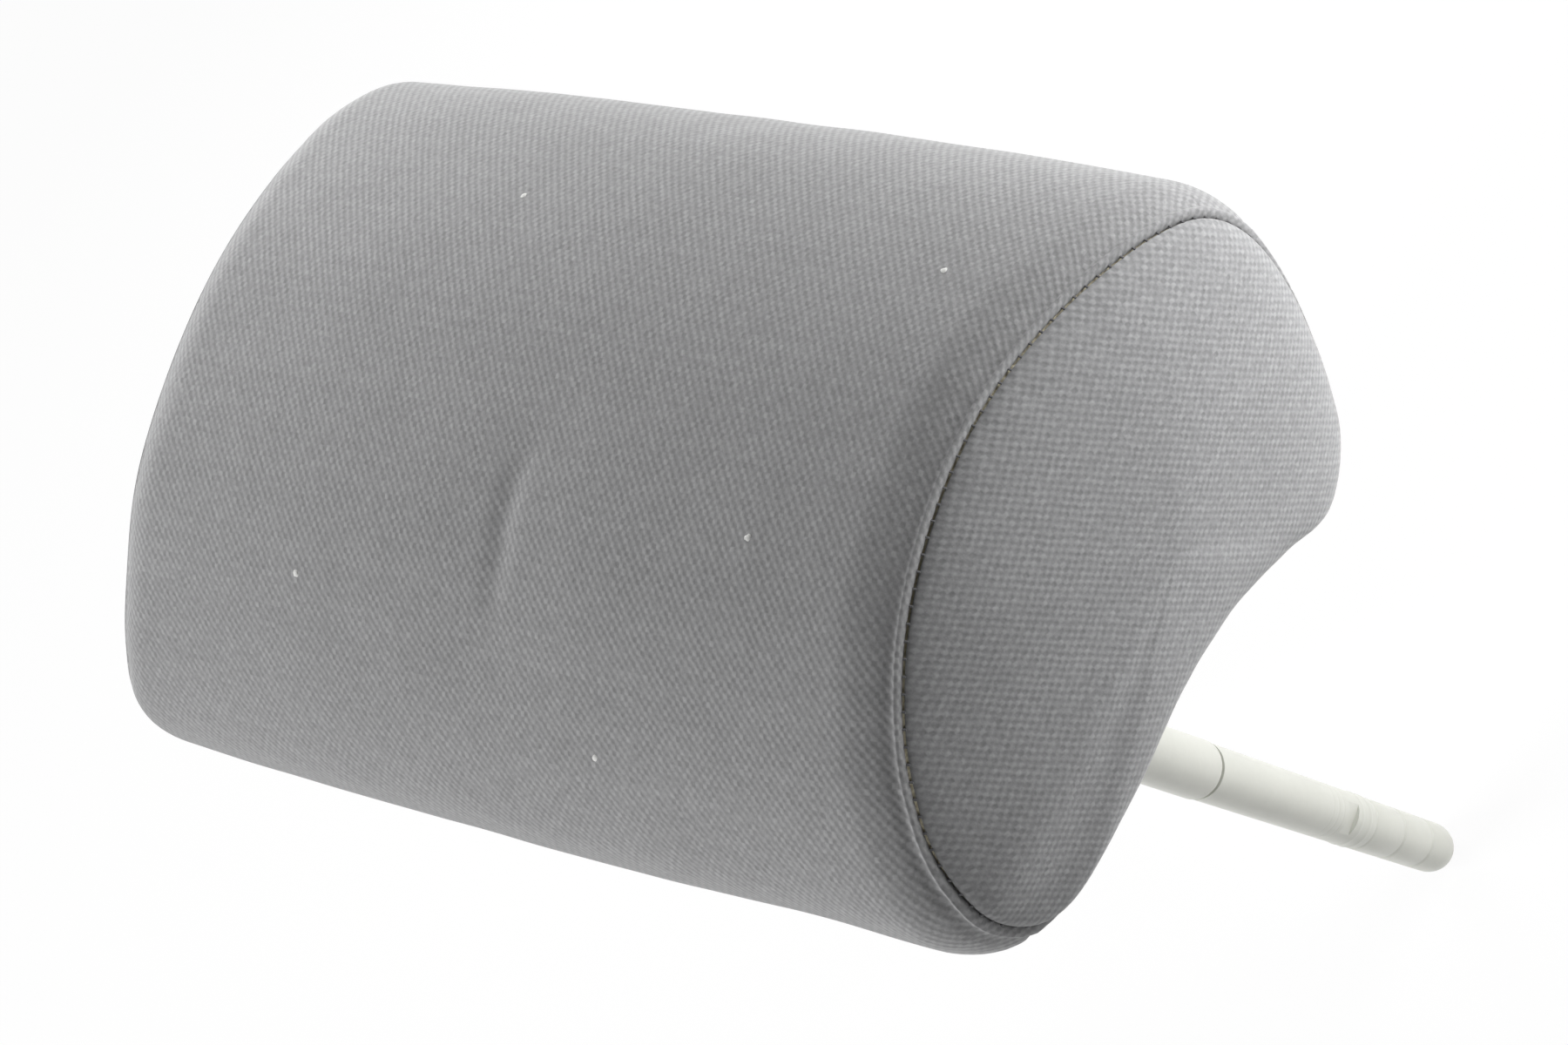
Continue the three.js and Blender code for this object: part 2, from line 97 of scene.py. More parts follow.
class OutlineCurve:
    """A smooth closed curve through the outline's points, asked by its share of the length round."""

    def __init__(self, points, fineness=48):
        count = len(points)
        self.places = []
        for i in range(count):
            four = [Vector(points[(i + k - 1) % count]) for k in range(4)]
            self.places += [self.between(four, step / fineness) for step in range(fineness)]
        self.lengths = [0.0]
        for a, b in zip(self.places, self.places[1:] + self.places[:1]):
            self.lengths.append(self.lengths[-1] + (b - a).length)
        self.length = self.lengths[-1]
        self.centre = sum(self.places, Vector((0, 0))) / len(self.places)

    @staticmethod
    def between(four, t):
        gaps = [math.sqrt((b - a).length) for a, b in zip(four, four[1:])]
        start = ((four[1] - four[0]) / gaps[0] - (four[2] - four[0]) / (gaps[0] + gaps[1])
                 + (four[2] - four[1]) / gaps[1]) * gaps[1]
        end = ((four[2] - four[1]) / gaps[1] - (four[3] - four[1]) / (gaps[1] + gaps[2])
               + (four[3] - four[2]) / gaps[2]) * gaps[1]
        square, cube = t * t, t * t * t
        return ((2 * cube - 3 * square + 1) * four[1] + (cube - 2 * square + t) * start
                + (3 * square - 2 * cube) * four[2] + (cube - square) * end)

    def at(self, share):
        """The place and the outward direction at a share of the way round."""
        wanted = (share % 1.0) * self.length
        low, high = 0, len(self.places)
        while high - low > 1:
            middle = (low + high) // 2
            low, high = (middle, high) if self.lengths[middle] <= wanted else (low, middle)
        count = len(self.places)
        blend = (wanted - self.lengths[low]) / (self.lengths[low + 1] - self.lengths[low])
        here, there = self.places[low], self.places[(low + 1) % count]
        along = (self.places[(low + 3) % count] - self.places[(low - 2) % count]).normalized()
        return here.lerp(there, blend), Vector((-along.y, along.x))


outline = OutlineCurve(OUTLINE)


def smooth(value):
    t = min(max(value, 0.0), 1.0)
    return t * t * (3 - 2 * t)


def seam_half_width(y, z):
    rise = (z + LOBE_DEPTH) / (CROWN_HEIGHT + LOBE_DEPTH)
    forward = (outline.centre.x - y) / (NOSE_REACH + outline.centre.x)
    half = HALF_WIDTH + LOWER_SWELL * rise - CROWN_NARROWING * rise * rise - NOSE_NARROWING * forward
    for place, width, spread in SEAM_WAVES:
        half += width * math.exp(-((y - place[0]) ** 2 + (z - place[1]) ** 2) / spread ** 2)
    return half


def levelled(place, outward, level):
    """Draws the underside to the level place round the posts."""
    x, y, z = place
    reach = FLAT_MARGIN + FLAT_FADE
    along_x = smooth((CUT_HALF_LENGTH + reach - abs(x)) / FLAT_FADE)
    along_y = smooth((CUT_HALF_WIDTH + reach - abs(y)) / FLAT_FADE)
    under = smooth((-outward.y - FLAT_TURN_START) / FLAT_TURN_FADE)
    return Vector((x, y, z + (level - z) * along_x * along_y * under))


# Mesh helpers, with the gaps in millimetres under which points are joined

CLOTH_JOIN = 0.01
SPUN_JOIN = 0.001
SHARP_ANGLE = 40
SOFT_SHARP_ANGLE = 60
FLAT_SHARP_ANGLE = 30


def new_object(name, bm, angle=SHARP_ANGLE):
    """Turns a bmesh in metres into a finished object with rounded shading."""
    mesh = bpy.data.meshes.new(name)
    bm.to_mesh(mesh)
    bm.free()
    mesh.polygons.foreach_set("use_smooth", [True] * len(mesh.polygons))
    mesh.set_sharp_from_angle(angle=math.radians(angle))
    obj = bpy.data.objects.new(name, mesh)
    bpy.context.scene.collection.objects.link(obj)
    return obj


def finish_piece(obj, material, slot, *nodes):
    obj.data.materials.clear()
    obj.data.materials.append(material)
    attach(obj, BODY)
    if nodes:
        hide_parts(*nodes)
    return obj


def cloth_grid(rows, columns, place):
    """A grid whose rows run round and whose columns run across. place gives, for a row's share and a
    column's number, the point in millimetres and its two lengths along the cloth."""
    bm = bmesh.new()
    bmesh.ops.create_grid(bm, x_segments=rows, y_segments=columns, size=0.5)
    spots = {v: (round((v.co.x + 0.5) * rows), round((v.co.y + 0.5) * columns)) for v in bm.verts}
    table = [[place(row / rows, column) for column in range(columns + 1)] for row in range(rows + 1)]
    layer = bm.loops.layers.uv.new("UVMap")
    for face in bm.faces:
        for loop in face.loops:
            row, column = spots[loop.vert]
            loop[layer].uv = table[row][column][1]
    for vert, (row, column) in spots.items():
        vert.co = table[row][column][0] * MM
    bmesh.ops.remove_doubles(bm, verts=bm.verts, dist=CLOTH_JOIN * MM)
    return bm


def turned_outwards(bm):
    bmesh.ops.recalc_face_normals(bm, faces=bm.faces)
    if bm.calc_volume(signed=True) < 0:
        bmesh.ops.reverse_faces(bm, faces=bm.faces)
    return bm


def spun(profile, x, steps=72):
    """A turned solid about a vertical axis at x, from radius and height pairs in millimetres."""
    bm = bmesh.new()
    verts = [bm.verts.new((x + radius, 0, height)) for radius, height in profile]
    edges = [bm.edges.new(pair) for pair in zip(verts, verts[1:])]
    if profile[0][0] > 0:
        edges.append(bm.edges.new((verts[-1], verts[0])))
    bmesh.ops.spin(
        bm, geom=verts + edges, cent=(x, 0, 0), axis=(0, 0, 1), angle=TURN, steps=steps,
        use_merge=True)
    bmesh.ops.remove_doubles(bm, verts=bm.verts, dist=SPUN_JOIN)
    bmesh.ops.scale(bm, vec=(MM, MM, MM), verts=bm.verts)
    return turned_outwards(bm)


def quarter_round(radius, height, across, up, steps, first=1):
    """Radius and height pairs of a quarter round that leaves a flat foot and ends upright."""
    turns = [TURN / 4 * step / steps for step in range(first, steps + 1)]
    return [(radius + across * math.sin(a), height + up - up * math.cos(a)) for a in turns]


# Node helpers

class Tree:
    """Short calls that add nodes to a node tree and link them."""

    def __init__(self, tree):
        self.tree = tree

    def put(self, socket, value):
        if isinstance(value, bpy.types.NodeSocket):
            self.tree.links.new(value, socket)
        elif value is not None:
            socket.default_value = value

    def node(self, kind, inputs=None, **settings):
        made = self.tree.nodes.new(kind)
        for key, value in settings.items():
            setattr(made, key, value)
        for key, value in (inputs or {}).items():
            self.put(made.inputs[key], value)
        return made

    def math(self, operation, a, b=None):
        made = self.node("ShaderNodeMath", operation=operation)
        self.put(made.inputs[0], a)
        self.put(made.inputs[1], b)
        return made.outputs[0]

    def vector(self, operation, a, b=None):
        made = self.node("ShaderNodeVectorMath", operation=operation)
        self.put(made.inputs[0], a)
        self.put(made.inputs[1], b)
        return made.outputs[0]

    def scaled(self, vector, share):
        made = self.node("ShaderNodeVectorMath", operation="SCALE")
        self.put(made.inputs[0], vector)
        self.put(made.inputs["Scale"], share)
        return made.outputs[0]

    def place(self):
        return self.node("ShaderNodeTexCoord").outputs["Object"]

    def noise(self, vector, scale, detail=2.0, output="Fac"):
        made = self.node("ShaderNodeTexNoise", {"Vector": vector, "Scale": scale, "Detail": detail})
        return made.outputs[output]

    def mix(self, share, a, b):
        made = self.node("ShaderNodeMix", data_type="RGBA")
        self.put(made.inputs[0], share)
        self.put(made.inputs[6], a)
        self.put(made.inputs[7], b)
        return made.outputs[2]

    def span(self, value, low, high, to_low=0.0, to_high=1.0):
        made = self.node("ShaderNodeMapRange", {
            "Value": value, "From Min": low, "From Max": high, "To Min": to_low, "To Max": to_high})
        return made.outputs[0]

    def about_one(self, value, low, high, spread):
        return self.span(value, low, high, 1 - spread, 1 + spread)


SOCKETS = {"f": "NodeSocketFloat", "v": "NodeSocketVector", "c": "NodeSocketColor"}


def new_group(name, inputs, outputs, fill):
    """A node group with named sockets. fill gets its tree helper, the input sockets and the output."""
    tree = bpy.data.node_groups.new(name, "ShaderNodeTree")
    for label, kind, value in inputs:
        socket = tree.interface.new_socket(name=label, in_out="INPUT", socket_type=SOCKETS[kind])
        if value is not None:
            socket.default_value = value
    for label, kind in outputs:
        tree.interface.new_socket(name=label, in_out="OUTPUT", socket_type=SOCKETS[kind])
    helper = Tree(tree)
    entry = helper.node("NodeGroupInput")
    leave = helper.node("NodeGroupOutput")
    for label, value in fill(helper, entry.outputs).items():
        helper.put(leave.inputs[label], value)
    return tree


# Weave: waviness of its rows in metres, fibres to the metre, and shares of the float's height
DRIFT_SCALE = 260.0
DRIFT_REACH = 0.0012
FIBRE_SCALE = 3200.0
FIBRE_SHARE = 0.35
FLOAT_FOOT = 0.25
FLOAT_TOP = 0.8


def weave_group():
    """Flat woven seat cloth: small floats set in staggered rows, leaning to a diagonal."""
    def fill(t, given):
        drift = t.noise(given["Vector"], DRIFT_SCALE, 2.0, "Color")
        centred = t.vector("SUBTRACT", drift, (0.5, 0.5, 0.5))
        shift = t.scaled(centred, t.math("MULTIPLY", given["Irregularity"], DRIFT_REACH))
        moved = t.vector("ADD", given["Vector"], shift)
        split = t.node("ShaderNodeSeparateXYZ", {"Vector": moved})
        row = t.math("DIVIDE", split.outputs[0], given["Row Pitch"])
        column = t.math("DIVIDE", split.outputs[1], given["Column Pitch"])
        waves = []
        for operation in ("ADD", "SUBTRACT"):
            phase = t.math("MULTIPLY", t.math(operation, row, column), math.pi)
            waves.append(t.math("COSINE", phase))
        lean = t.math("MULTIPLY", given["Twill"], 0.25)
        strong = t.math("MULTIPLY", waves[0], t.math("ADD", 0.25, lean))
        weak = t.math("MULTIPLY", waves[1], t.math("SUBTRACT", 0.25, lean))
        floats = t.math("ADD", t.math("ADD", strong, weak), 0.5)
        fibres = t.math("SUBTRACT", t.noise(given["Vector"], FIBRE_SCALE, 3.0), 0.5)
        height = t.math("ADD", floats, t.math("MULTIPLY", fibres, FIBRE_SHARE))
        whole_row = t.math("FLOOR", t.math("ADD", row, 0.5))
        whole_column = t.math("FLOOR", t.math("ADD", column, 0.5))
        yarn = t.node("ShaderNodeTexWhiteNoise", {"W": whole_row}, noise_dimensions="1D")
        cell = t.node("ShaderNodeCombineXYZ", {"X": whole_row, "Y": whole_column})
        speck = t.node("ShaderNodeTexWhiteNoise", {"Vector": cell.outputs[0]}, noise_dimensions="2D")
        return {
            "Height": height, "Float": t.span(floats, FLOAT_FOOT, FLOAT_TOP),
            "Yarn": yarn.outputs[0], "Speck": speck.outputs[0]}

    inputs = [
        ("Vector", "v", None), ("Row Pitch", "f", 0.0013), ("Column Pitch", "f", 0.00105),
        ("Twill", "f", 0.35), ("Irregularity", "f", 0.55)]
    outputs = [(label, "f") for label in ("Height", "Float", "Yarn", "Speck")]
    return new_group("seat_weave", inputs, outputs, fill)


# Mottle: the share of its broad patches, and how much finer the others are
BROAD_SHARE = 0.65
FINE_TIMES = 6.0


def mottle_group():
    """Slow changes of shade over a surface, from handling and dust."""
    def fill(t, given):
        broad = t.noise(given["Vector"], given["Scale"], 3.0)
        fine = t.noise(given["Vector"], t.math("MULTIPLY", given["Scale"], FINE_TIMES), 2.0)
        both = t.math(
            "ADD", t.math("MULTIPLY", broad, BROAD_SHARE), t.math("MULTIPLY", fine, 1 - BROAD_SHARE))
        shade = t.span(both, 0.3, 0.7, -1.0, 1.0)
        return {"Shade": t.math("ADD", t.math("MULTIPLY", shade, given["Amount"]), 1.0)}

    inputs = [("Vector", "v", None), ("Scale", "f", 20.0), ("Amount", "f", 0.05)]
    return new_group("slow_mottle", inputs, [("Shade", "f")], fill)


# Scuffs: how many to the metre, and how far they are drawn out along Z
SCUFF_SCALE = 900.0
SCUFF_STRETCH = (1.0, 1.0, 0.12)


def grain_group():
    """Fine cells of a moulded plastic skin, with faint scuffs."""
    def fill(t, given):
        cells = t.node("ShaderNodeTexVoronoi", {"Vector": given["Vector"], "Scale": given["Scale"]})
        height = t.math("MULTIPLY", cells.outputs["Distance"], given["Depth"])
        stretched = t.vector("MULTIPLY", given["Vector"], SCUFF_STRETCH)
        scuff = t.span(t.noise(stretched, SCUFF_SCALE, 4.0), 0.58, 0.75)
        return {"Height": height, "Scuff": scuff}

    inputs = [("Vector", "v", None), ("Scale", "f", 900.0), ("Depth", "f", 0.5)]
    return new_group("moulded_grain", inputs, [("Height", "f"), ("Scuff", "f")], fill)


def new_material(name):
    material = bpy.data.materials.new(name)
    material.use_nodes = True
    tree = Tree(material.node_tree)
    shader = material.node_tree.nodes["Principled BSDF"]
    return material, tree, shader


def add_group(tree, group, inputs):
    made = tree.node("ShaderNodeGroup", node_tree=group)
    for key, value in inputs.items():
        tree.put(made.inputs[key], value)
    return made.outputs


# Cloth: shares of its colour on the floats and between them, and how far each effect strays from one
LIGHT_YARN = 1.11
DARK_YARN = 0.88
YARN_SPREAD = 0.025
SPECK_SPREAD = 0.07
MELANGE_SPREAD = 0.12
MELANGE_SCALE = 1250.0
WEAVE_DEPTH = 0.00012
BUMP_STRENGTH = 0.6


def cloth_material(name, groups, colour, pitches, twill, grain_turn=0.0):
    """Seat cloth whose weave follows the piece's own UV map, which is in metres."""
    material, t, shader = new_material(name)
    uv = t.node("ShaderNodeUVMap", uv_map="UVMap").outputs[0]
    turned = t.node("ShaderNodeMapping", {"Vector": uv, "Rotation": (0, 0, math.radians(grain_turn))})
    weave = add_group(t, groups["weave"], {
        "Vector": turned.outputs[0], "Row Pitch": pitches[0], "Column Pitch": pitches[1],
        "Twill": twill})
    place = t.place()
    mottle = add_group(t, groups["mottle"], {"Vector": place, "Scale": 38.0, "Amount": 0.035})
    light = [min(c * LIGHT_YARN, 1.0) for c in colour]
    dark = [c * DARK_YARN for c in colour]
    shade = mottle["Shade"]
    for effect in (
            t.about_one(weave["Yarn"], 0.0, 1.0, YARN_SPREAD),
            t.about_one(weave["Speck"], 0.0, 1.0, SPECK_SPREAD),
            t.about_one(t.noise(place, MELANGE_SCALE, 3.0), 0.3, 0.7, MELANGE_SPREAD)):
        shade = t.math("MULTIPLY", shade, effect)
    bump = t.node("ShaderNodeBump", {
        "Strength": BUMP_STRENGTH, "Distance": WEAVE_DEPTH, "Height": weave["Height"]})
    tint = t.scaled(t.mix(weave["Float"], (*dark, 1), (*light, 1)), shade)
    t.put(shader.inputs["Base Color"], tint)
    t.put(shader.inputs["Roughness"], t.span(weave["Float"], 0.0, 1.0, 0.98, 0.84))
    t.put(shader.inputs["Normal"], bump.outputs[0])
    shader.inputs["Specular IOR Level"].default_value = 0.25
    shader.inputs["Sheen Weight"].default_value = 0.3
    shader.inputs["Sheen Roughness"].default_value = 0.4
    return material


# Plastic: cells of its skin to the metre, their depth in metres, and how much its scuffs show
SKIN_GRAIN = 900.0
SKIN_DEPTH = 0.00004
SCUFF_SHARE = 0.06


def plastic_material(name, groups, colour, roughness, grain=SKIN_GRAIN, depth=SKIN_DEPTH):
    material, t, shader = new_material(name)
    place = t.place()
    grain_out = add_group(t, groups["grain"], {"Vector": place, "Scale": grain})
    mottle = add_group(t, groups["mottle"], {"Vector": place, "Scale": 60.0, "Amount": 0.03})
    pale = [min(c * 1.12 + 0.02, 1.0) for c in colour]
    scuff = t.math("MULTIPLY", grain_out["Scuff"], SCUFF_SHARE)
    tint = t.scaled(t.mix(scuff, (*colour, 1), (*pale, 1)), mottle["Shade"])
    bump = t.node("ShaderNodeBump", {
        "Strength": BUMP_STRENGTH, "Distance": depth, "Height": grain_out["Height"]})
    t.put(shader.inputs["Base Color"], tint)
    t.put(shader.inputs["Roughness"], t.span(grain_out["Scuff"], 0, 1, roughness, roughness + 0.15))
    t.put(shader.inputs["Normal"], bump.outputs[0])
    return material


def steel_material(name, groups, colour, roughness):
    material, t, shader = new_material(name)
    place = t.place()
    grain_out = add_group(t, groups["grain"], {"Vector": place, "Scale": 1500.0})
    mottle = add_group(t, groups["mottle"], {"Vector": place, "Scale": 120.0, "Amount": 0.08})
    t.put(shader.inputs["Base Color"], t.scaled(colour, mottle["Shade"]))
    t.put(shader.inputs["Roughness"], t.span(grain_out["Scuff"], 0, 1, roughness, roughness + 0.2))
    shader.inputs["Metallic"].default_value = 1.0
    return material


# Foam: a painted shade colour in the pits of its pores, the foam's own colour between them, and the pores'
# depth in metres
PORE_SHADE_COLOUR = (0.55, 0.48, 0.33, 1)
FOAM_COLOUR = (0.78, 0.72, 0.54, 1)
PORE_DEPTH = 0.0004


def foam_material(name, groups):
    material, t, shader = new_material(name)
    place = t.place()
    pores = t.node("ShaderNodeTexVoronoi", {"Vector": place, "Scale": 1300.0}).outputs["Distance"]
    mottle = add_group(t, groups["mottle"], {"Vector": place, "Scale": 30.0, "Amount": 0.06})
    # The pits of the pores are painted darker as painted shade; the bump sinks the same pits
    tint = t.scaled(t.mix(t.span(pores, 0.1, 0.6), PORE_SHADE_COLOUR, FOAM_COLOUR), mottle["Shade"])
    bump = t.node("ShaderNodeBump", {
        "Strength": BUMP_STRENGTH, "Distance": PORE_DEPTH, "Height": pores})
    t.put(shader.inputs["Base Color"], tint)
    t.put(shader.inputs["Normal"], bump.outputs[0])
    shader.inputs["Roughness"].default_value = 0.95
    return material


# Row and column pitch of the weave along and across each kind of panel, in metres
MAIN_WEAVE = (0.001136, 0.00105)
SIDE_WEAVE = (0.000918, 0.00124)

finishes = {}


# Settings

def length(name, default, description):
    return bpy.props.FloatProperty(
        name=name, description=description, default=default * MM, unit="LENGTH", precision=5)


def colour_of(name, default, description):
    return bpy.props.FloatVectorProperty(
        name=name, description=description, default=default, subtype="COLOR")


class HeadrestPadSettings(bpy.types.PropertyGroup):
    """Sizes and colours of the sewn pad"""
    roll_height: length("Roll height", 5.2, "How far the main panel stands out from the side seams")
    roll_length: length("Roll length", 12.5, "Distance from a seam over which the main panel rounds off")
    crown_rise: length("Crown rise", 2.6, "Extra fullness in the middle of the main panel")
    side_dome: length("Side dome", 5.5, "How far a side panel puffs out just inside its seam")
    side_sag: length("Side sag", 1.7, "How much fuller a side panel is along its foot than at mid height")
    side_crown: length("Side crown", 3.5, "Extra fullness in the middle of a side panel")
    lip_height: length("Seam lip", 0.62, "Height of the fold that the seam raises on the main panel")
    hollow_depth: length("Seam hollow", 0.32, "Depth of the hollow beside that fold")
    dimple_depth: length("Dimple", 2.1, "Depth of the soft crease in the middle of the main panel")
    cloth_thickness: length("Cloth thickness", 2.2, "Face cloth with its foam backing")
    main_colour: colour_of("Main cloth", (0.300, 0.300, 0.303), "Colour of the main panel")
    side_colour: colour_of("Side cloth", (0.315, 0.316, 0.320), "Colour of the side panels")


class HeadrestPostSettings(bpy.types.PropertyGroup):
    """Sizes and colour of the posts"""
    sleeve_top_radius: length("Sleeve top radius", 7.1, "Radius of a post where it leaves the pad")
    sleeve_foot_radius: length("Sleeve foot radius", 6.85, "Radius of a post at its joint ring")
    end_top_radius: length("End top radius", 6.6, "Radius of the end piece below the joint ring")
    end_foot_radius: length("End foot radius", 5.95, "Radius of the end piece above its tip")
    groove_depth: length("Groove depth", 0.35, "Depth of the ring grooves near the tip")
    notch_depth: length("Notch depth", 1.2, "Depth of the latch notch")
    colour: colour_of("Post plastic", (0.60, 0.605, 0.555), "Colour of the posts")


class HeadrestStageSettings(bpy.types.PropertyGroup):
    """Camera, lamps and floor"""
    lens: bpy.props.FloatProperty(
        name="Lens", description="Focal length in millimetres", default=112.25)
    roll: bpy.props.FloatProperty(
        name="Roll", description="Turn of the camera about its view", default=math.radians(70.15),
        unit="ROTATION")
    lamp_share: bpy.props.FloatProperty(
        name="Lamps", description="Share of every lamp's power", default=1.0)
    ambient: bpy.props.FloatProperty(
        name="Ambient", description="Brightness of the room", default=0.03)


# Settling of the cover over its filling, with lengths in millimetres

SETTLE_ROWS = 96
SETTLE_FACE_STEP = 4
SETTLE_PANEL_STEP = 6
SETTLE_VOXEL = 5.0
SETTLE_FRAMES = 20
SETTLE_QUALITY = 6
SETTLE_PRESSURE = 4.0
SETTLE_CAP = 0.7
SETTLE_REACH = 4.0
SETTLE_SPAN = 2.2 * SETTLE_REACH
HELD_BAND = 5.0
HELD_HEIGHT = 14.0
FOLLOW_BAND = 9.0
CLOTH_MASS = 0.25
STRETCH_STIFFNESS = 8.0
SHEAR_STIFFNESS = 3.0
BEND_STIFFNESS = 0.8


class Settling:
    """The small shifts of the cover's points, once its cloth has settled. All in millimetres."""

    def __init__(self):
        self.tree, self.shifts = None, []

    def keep(self, before, after):
        self.tree = kdtree.KDTree(len(before))
        for index, (old, new) in enumerate(zip(before, after)):
            move = new - old
            self.shifts.append(move * (SETTLE_CAP / (SETTLE_CAP + move.length)))
            self.tree.insert(old, index)
        self.tree.balance()

    def shift(self, point):
        total, weight = Vector((0, 0, 0)), 0.0
        if self.tree is None:
            return total
        for _, index, gap in self.tree.find_range(point, SETTLE_SPAN):
            share = math.exp(-(gap / SETTLE_REACH) ** 2)
            total += self.shifts[index] * share
            weight += share
        return total / max(weight, 1e-9)


settling = Settling()


class HEADREST_OT_settling(bpy.types.Operator):
    """Let the cover's cloth settle over its filling, held along its seams and round its opening"""
    bl_idname = "headrest.settling"
    bl_label = "Settle Cover"

    def skin(self, settings):
        """One closed skin of the three panels, with faces of an even size."""
        main = MainPanel(settings)
        sides = {side: SidePanel(settings, side) for side in (-1, 1)}
        face = list(range(0, FACE_COLUMNS + 1, SETTLE_FACE_STEP))
        steps = range(-OUTER_COLUMNS, OUTER_COLUMNS + 1, SETTLE_PANEL_STEP)
        stops = [(-1, "side", c) for c in face]
        stops += [(-1 if step < 0 else 1, "main", abs(step)) for step in steps]
        stops += [(1, "side", c) for c in reversed(face)]

        def place(share, column):
            side, kind, step = stops[column]
            if kind == "side":
                return sides[side].place(share, step)[0], (0.0, 0.0)
            return main.outer(share, side, step), (0.0, 0.0)

        bm = cloth_grid(SETTLE_ROWS, len(stops) - 1, place)
        rough = new_object("settling_rough", turned_outwards(bm))
        modifier = rough.modifiers.new("even", "REMESH")
        modifier.mode = "VOXEL"
        modifier.voxel_size = SETTLE_VOXEL * MM
        graph = bpy.context.evaluated_depsgraph_get()
        mesh = bpy.data.meshes.new_from_object(rough.evaluated_get(graph))
        bpy.data.objects.remove(rough)
        skin = bpy.data.objects.new("settling_skin", mesh)
        bpy.context.scene.collection.objects.link(skin)
        return skin

    def hold(self, skin):
        """Holds the skin along both seams and on the level place under the pad."""
        seams = kdtree.KDTree(2 * len(outline.places))
        for index, place in enumerate(outline.places):
            for side in (-1, 1):
                seams.insert((side * seam_half_width(place.x, place.y), place.x, place.y), index)
        seams.balance()
        held = []
        for vert in skin.data.vertices:
            x, y, z = vert.co / MM
            inside = abs(x) < CUT_HALF_LENGTH + HELD_BAND and abs(y) < CUT_HALF_WIDTH + HELD_BAND
            if (inside and z < HELD_HEIGHT) or seams.find((x, y, z))[2] < HELD_BAND:
                held.append(vert.index)
        group = skin.vertex_groups.new(name="held")
        group.add(held, 1.0, "REPLACE")

    def execute(self, context):
        skin = self.skin(context.scene.headrest_pad)
        self.hold(skin)
        before = [vert.co / MM for vert in skin.data.vertices]
        modifier = skin.modifiers.new("cloth", "CLOTH")
        cloth = modifier.settings
        cloth.quality = SETTLE_QUALITY
        cloth.mass = CLOTH_MASS
        cloth.tension_stiffness = STRETCH_STIFFNESS
        cloth.compression_stiffness = STRETCH_STIFFNESS
        cloth.shear_stiffness = SHEAR_STIFFNESS
        cloth.bending_stiffness = BEND_STIFFNESS
        cloth.vertex_group_mass = "held"
        cloth.use_pressure = True
        cloth.uniform_pressure_force = SETTLE_PRESSURE
        cloth.effector_weights.gravity = 0.0
        modifier.collision_settings.use_collision = False
        modifier.point_cache.frame_start = 1
        modifier.point_cache.frame_end = SETTLE_FRAMES
        for step in range(1, SETTLE_FRAMES + 1):
            context.scene.frame_set(step)
        graph = context.evaluated_depsgraph_get()
        after = [vert.co / MM for vert in skin.evaluated_get(graph).data.vertices]
        settling.keep(before, after)
        bpy.data.objects.remove(skin)
        context.scene.frame_set(1)
        return {"FINISHED"}


# Main panel, with lengths in millimetres

PANEL_ROWS = 288
TOP_COLUMNS = 104
ROLL_COLUMNS = 32
INNER_COLUMNS = 20
HALF_TOP = TOP_COLUMNS // 2
OUTER_COLUMNS = HALF_TOP + ROLL_COLUMNS
ROLL_CROWDING = 2.5
ROLL_START = 20.0
SEAM_GAP = 0.35
ROLL_FOOT = 0.45
LIP_PLACE = 0.75
LIP_HALF_WIDTH = 0.55
HOLLOW_PLACE = 2.4
HOLLOW_HALF_WIDTH = 1.0
FAR_LIP_CUT = 0.8
LINING_GAP = 0.4
LINING_LIMIT = 9.0

# The turned in edge of the main panel, as pairs of distance inboard of the seam and height
FOLD = [
    (0.38, 0.25), (0.35, -0.25), (0.4, -0.8), (0.7, -1.35), (1.4, -1.8), (2.4, -2.1), (3.4, -2.3),
]

# How the roll's height changes round the outline, as shares of it, and where each change begins
ROLL_UNDER_CUT = 0.55
UNDER_REAR = 20.0
UNDER_START_REAR = 0.5
UNDER_START = 0.2
UNDER_FADE = 0.35
ROLL_NOSE_CUT = 0.05
NOSE_START = 0.6
NOSE_FADE = 0.35
REAR_GAIN = 0.3
REAR_START = 0.55
FAR_SHARE = 0.3
CHANGE_REACH = 55.0

# The crease in the middle of the upper face: its line in x and y, and its reach across and along
CREASE_LINE = [
    (-10.5, -24.0), (-8.0, -17.0), (-8.0, -7.0), (-8.6, 0.0), (-8.0, 8.0), (-7.0, 15.0),
]
CREASE_FLOOR = 40.0
CREASE_HALF_WIDTH = 3.0
CREASE_MIDDLE = -6.0
CREASE_HALF_LENGTH = 16.0
CREASE_SHARE = 0.55
DIMPLE_HALF_WIDTH = 16.0

# Unevenness of the cloth: heights, and waves to the millimetre
PUCKER_HEIGHT = 0.3
PUCKER_WAVES = [(1.0, 0.11, 3.1), (0.6, 0.33, 7.7)]
PUCKER_REACH = 9.0
PUCKER_START = 2.5
FAR_PUCKER = 500
SWELL_WAVES = [(0.45, 0.021), (0.16, 0.06)]
SWELL_START = 12.0


def seam_pucker(arc, inboard):
    """Small pulls of the cloth along the seam, in millimetres."""
    pull = sum(part * noise.noise(Vector((arc * waves, row, 0.0))) for part, waves, row in PUCKER_WAVES)
    fade = math.exp(-inboard / PUCKER_REACH) * smooth(inboard / PUCKER_START)
    return PUCKER_HEIGHT * pull * fade


def swell(x, y, z):
    """Slow unevenness of the foam under the cloth, in millimetres."""
    return sum(height * noise.noise(Vector((x, y, z)) * waves) for height, waves in SWELL_WAVES)


